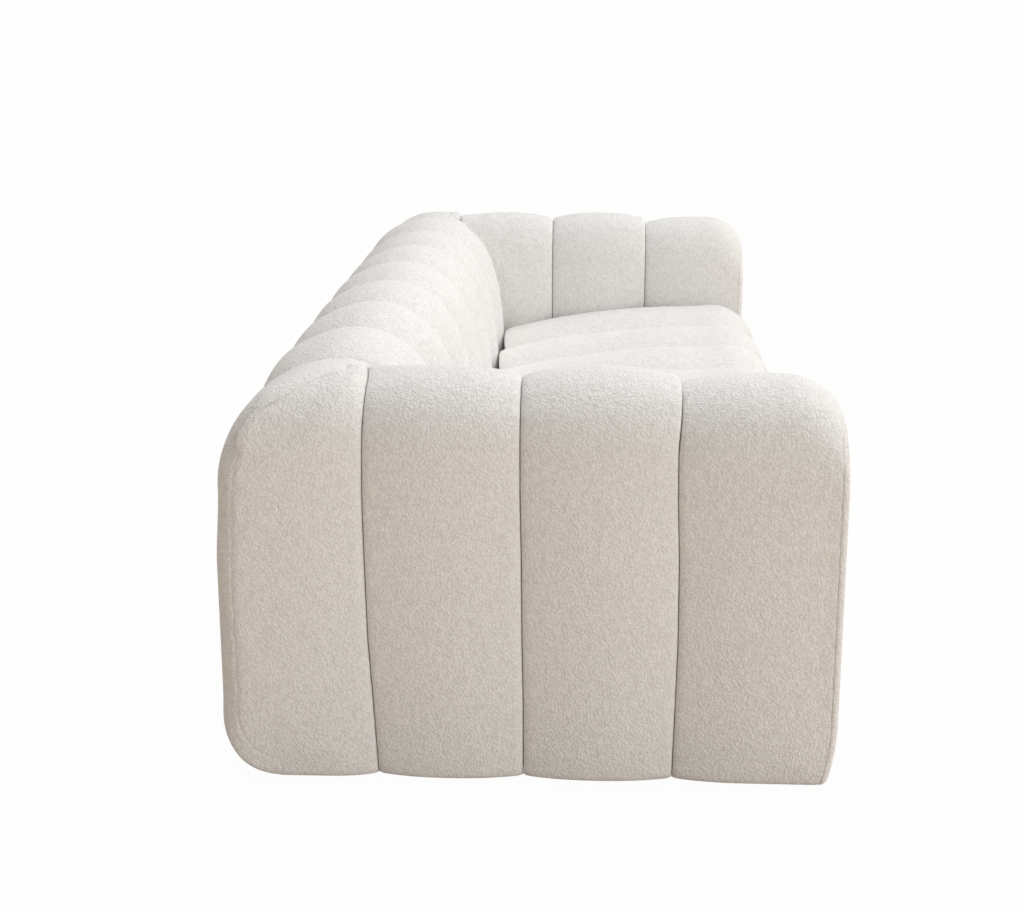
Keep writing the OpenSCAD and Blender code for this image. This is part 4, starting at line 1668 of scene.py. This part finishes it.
        numbers = np.arange(rings[..., 0].size).reshape(rings.shape[:2])
        faces = quads_of(np.concatenate([numbers, numbers[:, :1]], axis=1))
        free = np.zeros(rings.shape[:2])
        free[2:] = np.clip(inset[:, None] / 0.03, 0, 1) * 0.5
        return Skin(rings.reshape(-1, 3), faces, free.reshape(-1)).outward()

    def build(self) -> None:
        """Makes the arm's pads."""
        side, dress = self.side.label, self.covers.dress
        for number in range(1, 5):
            dress(f"{side}_arm_pad_{number}", self.channel(number),
                  f"{side}_arm_channel_{number}", 0.8)
        dress(f"{side}_corner_pad", self.corner(), f"{side}_corner_channel", 0.7)
        merge_doubles(dress(f"{side}_arm_front_pad", self.front_pad(),
                            f"{side}_arm_front_cap", 0.7))


def merge_doubles(piece: bpy.types.Object, within: float = 1e-5) -> None:
    """Joins points that lie in one place and turns the faces outwards.

    Args:
        piece: the object.
        within: how near the points lie.
    """
    work = bmesh.new()
    work.from_mesh(piece.data)
    bmesh.ops.remove_doubles(work, verts=work.verts, dist=within)
    bmesh.ops.recalc_face_normals(work, faces=work.faces)
    work.to_mesh(piece.data)
    work.free()
    piece.data.shade_smooth()


# Foam, felt and cloth under the covers

@dataclass
class Filling:
    """The foam, the felt, the webbing and the dust cover.

    Args:
        k: the sofa's sizes.
        clear: room that each piece leaves to its neighbours.
    """

    k: Sizes = SIZES
    clear: float = 0.0005

    def slab(self, node: str, pitch: float, wave: float) -> Skin:
        """A level sheet that fills a solid's box: z is its face plus a low uneven swell.

        Args:
            node: the solid.
            pitch: distance between points.
            wave: height of the swell; below 0 the lower face has it too.

        Returns:
            The sheet's surface.
        """
        low, high = (np.array(v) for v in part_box(node))
        x = np.linspace(low[0], high[0], int((high[0] - low[0]) / pitch) + 2)
        y = np.linspace(low[1], high[1], int((high[1] - low[1]) / pitch) + 2)
        gx, gy = np.meshgrid(x, y, indexing="ij")
        across = (gy - low[1]) / (high[1] - low[1])
        swell = wave * waves(gx + 0.6 * gy, 41, 0.12, 0.4) * np.sin(pi * across)
        top = np.stack([gx, gy, high[2] - abs(wave) + swell], axis=-1)
        foot = np.stack([gx, gy, low[2] + 0 * gx + (swell if wave < 0 else 0)], axis=-1)
        return shell(top, foot, layers=2)

    def finish(self, name: str, skin: Skin, material: bpy.types.Material, slot: str, node: str,
               edge: float) -> bpy.types.Object:
        """Makes a piece with softly rounded edges and puts it in the place of its solid.

        Args:
            name: the piece's name.
            skin: its surface.
            material: its finish.
            slot: the name of its kind of material; not used.
            node: the solid that it stands for.
            edge: width of its rounded edges, or 0.

        Returns:
            The piece.
        """
        piece = add_mesh(name, skin)
        piece.data.materials.append(material)
        if edge:
            bevel = piece.modifiers.new("Edge", "BEVEL")
            bevel.width, bevel.segments, bevel.limit_method = edge, 2, "ANGLE"
            bevel.angle_limit = radians(50)
        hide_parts(node)
        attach(piece, "root")
        LOG.info("%s: %d points", name, len(skin.points))
        return piece

    def swept(self, route: Route, half: float, outer: float, inner: float, seed: int) -> Skin:
        """A foam sheet along a route between two depths, with a cut surface that waves a little.

        Args:
            route: the line that it follows.
            half: half its length along the sofa.
            outer: depth of its outer face.
            inner: depth of its inner face.
            seed: number that its waves start from.

        Returns:
            The sheet's surface.
        """
        s = np.linspace(0.0, route.length, int(route.length / 0.022) + 2)
        x = np.linspace(-half, half, int(2 * half / 0.025) + 2)
        run, gx = np.meshgrid(s, x, indexing="ij")
        wave = 0.0003 * waves(run + 0.7 * gx, seed, 0.06, 0.2)
        outside = StraightPads.place(route, run, gx, outer + np.abs(wave))
        inside = StraightPads.place(route, run, gx, np.full_like(run, inner))
        return shell(outside, inside, layers=3)

    def seat_foam(self) -> Skin:
        """The shaped seat foam: its outer line follows the seat's route at the pads' base.

        Its inner line runs up behind the front rail and along the deck. Both lines are measured
        by stations, and the lattice joins those of the same number.

        Returns:
            The foam's surface.
        """
        k, route = self.k, seat_route(self.k)
        depth = k.pad + self.clear
        curl = k.base_r * radians(90)
        lip = curl + k.seat_height - k.nose_r - k.gap - k.base_r
        last = route.length - 0.012
        s = np.concatenate([np.linspace(curl + 0.001, lip, 14)[:-1], np.linspace(lip, last, 40)])
        y, z, _, _ = route.at(s, depth)
        rail_y = -k.half_depth + k.pad + 0.006 + k.foam / 2 - 0.0006
        back_y = k.back_y - 0.001
        inner_y = np.where(s < lip, rail_y, np.interp(s, [lip, last], [rail_y, back_y]))
        deck_z = k.deck + 0.0002
        inner_z = np.where(s < lip, np.interp(s, [curl, lip], [0.0175, deck_z]), deck_z)
        x = np.linspace(-k.inner_x + 0.001, k.inner_x - 0.001, 72)
        wide = np.broadcast_to(x[None], (len(s), len(x)))
        y, z, inner_y, inner_z = (np.broadcast_to(line[:, None], wide.shape)
                                  for line in (y, z, inner_y, inner_z))
        wave = 0.0004 * np.abs(waves(s[:, None] + 0.7 * wide, 77, 0.06, 0.2))
        outer = np.stack([wide, y, z - wave], axis=-1)
        inner = np.stack([wide, inner_y, inner_z], axis=-1)
        return shell(outer, inner, layers=4)

    def carved(self, node: str, name: str, material: bpy.types.Material,
               voxel: float) -> bpy.types.Object:
        """Cut foam made from a copy of its solid: remeshed, so that its cut edges are soft.

        Args:
            node: the solid that it stands for.
            name: the piece's name.
            material: its finish.
            voxel: distance between the new mesh's points.

        Returns:
            The piece.
        """
        work = bmesh.new()
        work.from_mesh(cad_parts[node].data)
        bmesh.ops.remove_doubles(work, verts=work.verts, dist=1e-6)
        mesh = bpy.data.meshes.new(name)
        work.to_mesh(mesh)
        work.free()
        piece = bpy.data.objects.new(name, mesh)
        bpy.context.scene.collection.objects.link(piece)
        remesh = piece.modifiers.new("Cut", "REMESH")
        remesh.mode, remesh.voxel_size, remesh.use_smooth_shade = "VOXEL", voxel, True
        smooth = piece.modifiers.new("Soften", "SMOOTH")
        smooth.factor, smooth.iterations = 0.5, 3
        graph = bpy.context.evaluated_depsgraph_get()
        made = bpy.data.meshes.new_from_object(piece.evaluated_get(graph))
        piece.modifiers.clear()
        piece.data = made
        bpy.data.meshes.remove(mesh)
        made.materials.clear()
        made.materials.append(material)
        made.shade_smooth()
        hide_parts(node)
        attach(piece, "root")
        LOG.info("%s: %d points", name, len(made.vertices))
        return piece

    def strap(self, number: int) -> tuple[Skin, tuple[float, float]]:
        """One webbing strap on the lean, and the size it was cut to.

        Args:
            number: the strap, from 0 at the bottom.

        Returns:
            The strap's surface, and its width and length.
        """
        k = self.k
        r = k.lean_r - k.pad - k.foam - 0.0003
        turn = k.strap / r
        step = (radians(k.lean) - turn) / (k.straps - 1)
        angle = pi - number * step - np.linspace(0, turn, 9)
        half = k.inner_x - 0.0004
        x = np.linspace(-half, half, 90)
        ga, gx = np.meshgrid(angle, x, indexing="ij")
        centre = (k.back_y + k.lean_r, k.lean_z)
        ribbed = 0.00008 * np.sin(2 * pi * gx / 0.03)
        depths = (0.0001 + np.abs(ribbed), np.full_like(gx, k.strap_thick - 0.0001))
        front, rear = (np.stack([gx, centre[0] + (r - depth) * np.cos(ga),
                                 centre[1] + (r - depth) * np.sin(ga)], axis=-1)
                       for depth in depths)
        return shell(front, rear, layers=2), (k.strap, 2 * half)

    def build(self) -> None:
        """Makes all that lies under the covers."""
        k = self.k
        foam, felt = Foam().material(), Felt().material()
        web = Woven("jute_webbing", (0.62, 0.52, 0.38), 0.0022, False).material()
        dust = Woven("dust_cloth", (0.10, 0.10, 0.10), 0.0012, True).material()
        seat = self.seat_foam()
        back = self.swept(back_route(k), k.inner_x - 0.001, k.pad + self.clear,
                          k.pad + k.foam - self.clear, 81)
        pieces = [self.finish("seat_foam_block", seat, foam, "foam", "seat_foam", 0.003),
                  self.finish("back_foam_sheet", back, foam, "foam", "back_foam", 0.003)]
        for side in Side:
            for node, name, voxel in (("arm_foam", "arm_foam_sheet", 0.0075),
                                      ("corner_foam", "corner_foam_blocks", 0.0055)):
                pieces.append(self.carved(f"{side.label}_{node}", f"{side.label}_{name}",
                                          foam, voxel))
        pad = self.slab("spring_felt", 0.03, 0.0002)
        pieces.append(self.finish("felt_pad", pad, felt, "felt", "spring_felt", 0.0015))
        for number in range(k.straps):
            skin, flat = self.strap(number)
            name = f"webbing_strap_{number + 1}"
            strap = self.finish(name, skin, web, "webbing", "back_webbing", 0)
        level = self.slab("dust_cover", 0.03, -0.0004)
        cover = self.finish("dust_cloth_sheet", level, dust, "dust_cloth", "dust_cover", 0)


# Frame, springs and hardware

def on_both_arms(*parts: str) -> tuple[str, ...]:
    """Names of the nodes that both arms have."""
    return tuple(f"{side.label}_arm_{part}" for part in parts for side in Side)


@dataclass
class Carcass:
    """The solids that keep their own shape: each gets its finish.

    Args:
        timber: the wood of the rails, posts and blocks.
    """

    timber: Timber = Timber()

    def build(self) -> None:
        """Gives every frame part, spring and fixing its material."""
        along_x, along_y, along_z = (self.timber.material(grain) for grain in Grain)
        board, spring, zinc = Hardboard().material(), metal(Metal.SPRING), metal(Metal.ZINC)
        groups = (
            (along_x, ("seat_front_rail", "seat_rear_rail", "back_top_rail", "back_bottom_rail",
                       "corner_blocks")),
            (along_y, ("seat_side_rails", "seat_stretchers",
                       *on_both_arms("top_rail", "bottom_rail"))),
            (along_z, ("corner_posts", *on_both_arms("posts"))),
            (board, ("back_outer_panel", *on_both_arms("outer_panel", "inner_panel"))),
            (Plywood().material(), ("back_ribs",)),
            (spring, ("seat_springs", "tie_wires")),
            (zinc, ("spring_clips", "frame_bolts")),
            (GlidePlastic().material(), ("glides",)),
        )
        for material, names in groups:
            for name in names:
                self.give(name, material)

    @staticmethod
    def give(name: str, material: bpy.types.Material) -> None:
        """Puts a material into all the slots of a node.

        Args:
            name: the node's name.
            material: its finish.
        """
        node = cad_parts[name]
        if not node.material_slots:
            node.data.materials.append(None)
        for slot in node.material_slots:
            slot.material = material
        LOG.info("%s: %s", name, material.name)


# Studio

@dataclass(frozen=True)
class Studio:
    """A pale floor, a white surround, soft lamps, and the camera at the photograph's angle.

    Args:
        eye: the camera's place.
        yaw: its turn from +X towards +Y, in degrees.
        pitch: how far it looks down, in degrees.
        roll: its tilt, in degrees.
        focal: its focal length in pixels of a 1024 wide picture.
    """

    eye: tuple[float, float, float] = (-3.604, -0.097, 1.2283)
    yaw: float = 2.747
    pitch: float = 15.076
    roll: float = -0.105
    focal: float = 1700.0

    def camera(self) -> None:
        """Places the camera from its three angles."""
        yaw, pitch, roll = radians(self.yaw), radians(self.pitch), radians(self.roll)
        ahead = np.array([cos(yaw), sin(yaw), 0.0])
        right = np.array([sin(yaw), -cos(yaw), 0.0])
        up = np.array([0.0, 0.0, 1.0])
        look, top = ahead * cos(pitch) - up * sin(pitch), up * cos(pitch) + ahead * sin(pitch)
        side, head = right * cos(roll) + top * sin(roll), top * cos(roll) - right * sin(roll)
        data = bpy.data.cameras.new("camera")
        data.sensor_fit, data.sensor_width = "HORIZONTAL", 36.0
        data.lens = self.focal / 1024 * 36.0
        data.clip_start, data.clip_end = 0.05, 900.0
        made = bpy.data.objects.new("camera", data)
        bpy.context.scene.collection.objects.link(made)
        turn = np.eye(4)
        turn[:3, 0], turn[:3, 1], turn[:3, 2], turn[:3, 3] = side, head, -look, self.eye
        made.matrix_world = Matrix(turn.tolist())
        bpy.context.scene.camera = made

    @staticmethod
    def sky_lamp(name: str, towards: tuple[float, float, float], spread: float,
                 strength: float) -> None:
        """Adds one wide, even light from a direction.

        Args:
            name: the lamp's name.
            towards: direction from the sofa to the lamp.
            spread: how wide it is, in degrees.
            strength: its strength.
        """
        data = bpy.data.lights.new(name, "SUN")
        data.energy, data.angle = strength, radians(spread)
        made = bpy.data.objects.new(name, data)
        made.rotation_euler = Vector(towards).to_track_quat("Z", "Y").to_euler()
        bpy.context.scene.collection.objects.link(made)

    @staticmethod
    def soft_box(name: str, place: tuple[float, float, float], size: float, watts: float) -> None:
        """Adds one square soft box that shines straight down and isn't seen itself.

        Args:
            name: the lamp's name.
            place: its place.
            size: the length of its side.
            watts: its power.
        """
        data = bpy.data.lights.new(name, "AREA")
        data.shape, data.size, data.energy = "SQUARE", size, watts
        made = bpy.data.objects.new(name, data)
        made.location = place
        made.visible_camera = False
        bpy.context.scene.collection.objects.link(made)

    @staticmethod
    def seen_white(tree: bpy.types.NodeTree, share: float) -> bpy.types.NodeSocket:
        """How much of a white surround is seen: a share of it by camera and mirror rays.

        Args:
            tree: the material's or the world's nodes.
            share: the share that these rays see.

        Returns:
            The share for each ray, 0 for all others.
        """
        rays = tree.nodes.new("ShaderNodeLightPath")
        first = tree.nodes.new("ShaderNodeMath")
        first.operation = "MAXIMUM"
        tree.links.new(rays.outputs["Is Camera Ray"], first.inputs[0])
        tree.links.new(rays.outputs["Is Glossy Ray"], first.inputs[1])
        second = tree.nodes.new("ShaderNodeMath")
        second.operation = "MAXIMUM"
        tree.links.new(first.outputs[0], second.inputs[0])
        tree.links.new(rays.outputs["Is Transmission Ray"], second.inputs[1])
        third = tree.nodes.new("ShaderNodeMath")
        third.operation, third.inputs[1].default_value = "MULTIPLY", share
        tree.links.new(second.outputs[0], third.inputs[0])
        return third.outputs[0]

    def floor(self) -> None:
        """A pale floor: what the camera sees of it is mostly white light, and it keeps a shadow."""
        x, y = np.meshgrid([-400.0, 400.0], [-400.0, 400.0], indexing="ij")
        points = np.stack([x, y, np.zeros_like(x)], axis=-1).reshape(-1, 3)
        mesh = bpy.data.meshes.new("floor")
        mesh.from_pydata(points.tolist(), [], [(0, 2, 3, 1)])
        made = bpy.data.objects.new("floor", mesh)
        bpy.context.scene.collection.objects.link(made)
        material = bpy.data.materials.new("floor")
        material.use_nodes = True
        tree = material.node_tree
        tree.nodes.clear()
        matte = tree.nodes.new("ShaderNodeBsdfDiffuse")
        matte.inputs[0].default_value = (0.74, 0.62, 0.51, 1.0)
        light = tree.nodes.new("ShaderNodeEmission")
        mix = tree.nodes.new("ShaderNodeMixShader")
        out = tree.nodes.new("ShaderNodeOutputMaterial")
        tree.links.new(self.seen_white(tree, 0.97), mix.inputs[0])
        tree.links.new(matte.outputs[0], mix.inputs[1])
        tree.links.new(light.outputs[0], mix.inputs[2])
        tree.links.new(mix.outputs[0], out.inputs[0])
        mesh.materials.append(material)

    def surround(self) -> None:
        """A soft even sky that camera and mirror rays see as white."""
        world = bpy.data.worlds.new("surround")
        bpy.context.scene.world = world
        world.use_nodes = True
        tree = world.node_tree
        tree.nodes.clear()
        soft, white = tree.nodes.new("ShaderNodeBackground"), tree.nodes.new("ShaderNodeBackground")
        soft.inputs[0].default_value, soft.inputs[1].default_value = (1.0, 0.99, 0.98, 1.0), 0.285
        white.inputs[0].default_value = (1.0, 1.0, 1.0, 1.0)
        mix, out = tree.nodes.new("ShaderNodeMixShader"), tree.nodes.new("ShaderNodeOutputWorld")
        tree.links.new(self.seen_white(tree, 1.0), mix.inputs[0])
        tree.links.new(soft.outputs[0], mix.inputs[1])
        tree.links.new(white.outputs[0], mix.inputs[2])
        tree.links.new(mix.outputs[0], out.inputs[0])

    def build(self) -> None:
        """Sets up the camera, the floor, the surround and the lamps."""
        bpy.context.scene.view_settings.view_transform = "Standard"
        self.camera()
        self.floor()
        self.surround()
        self.sky_lamp("overhead", (0.45, -0.05, 0.90), 60.0, 1.64)
        self.sky_lamp("key", (0.0, -0.79, 0.61), 100.0, 0.74)
        self.sky_lamp("fill", (-0.67, -0.71, 0.20), 45.0, 1.15)
        self.soft_box("over the seat", (-0.2, -0.9, 2.3), 1.4, 7.5)


def main() -> None:
    """Builds the sofa from its covers inwards, then the studio."""
    logging.basicConfig(level=logging.INFO, format="%(message)s")
    work = Upholstery()
    covers = Covers(Boucle().material(), work)
    StraightPads(covers).build()
    for side in Side:
        ArmPads(side, covers).build()
    work.settle()
    Filling().build()
    Carcass().build()
    Studio().build()


if __name__ == "__main__":
    main()
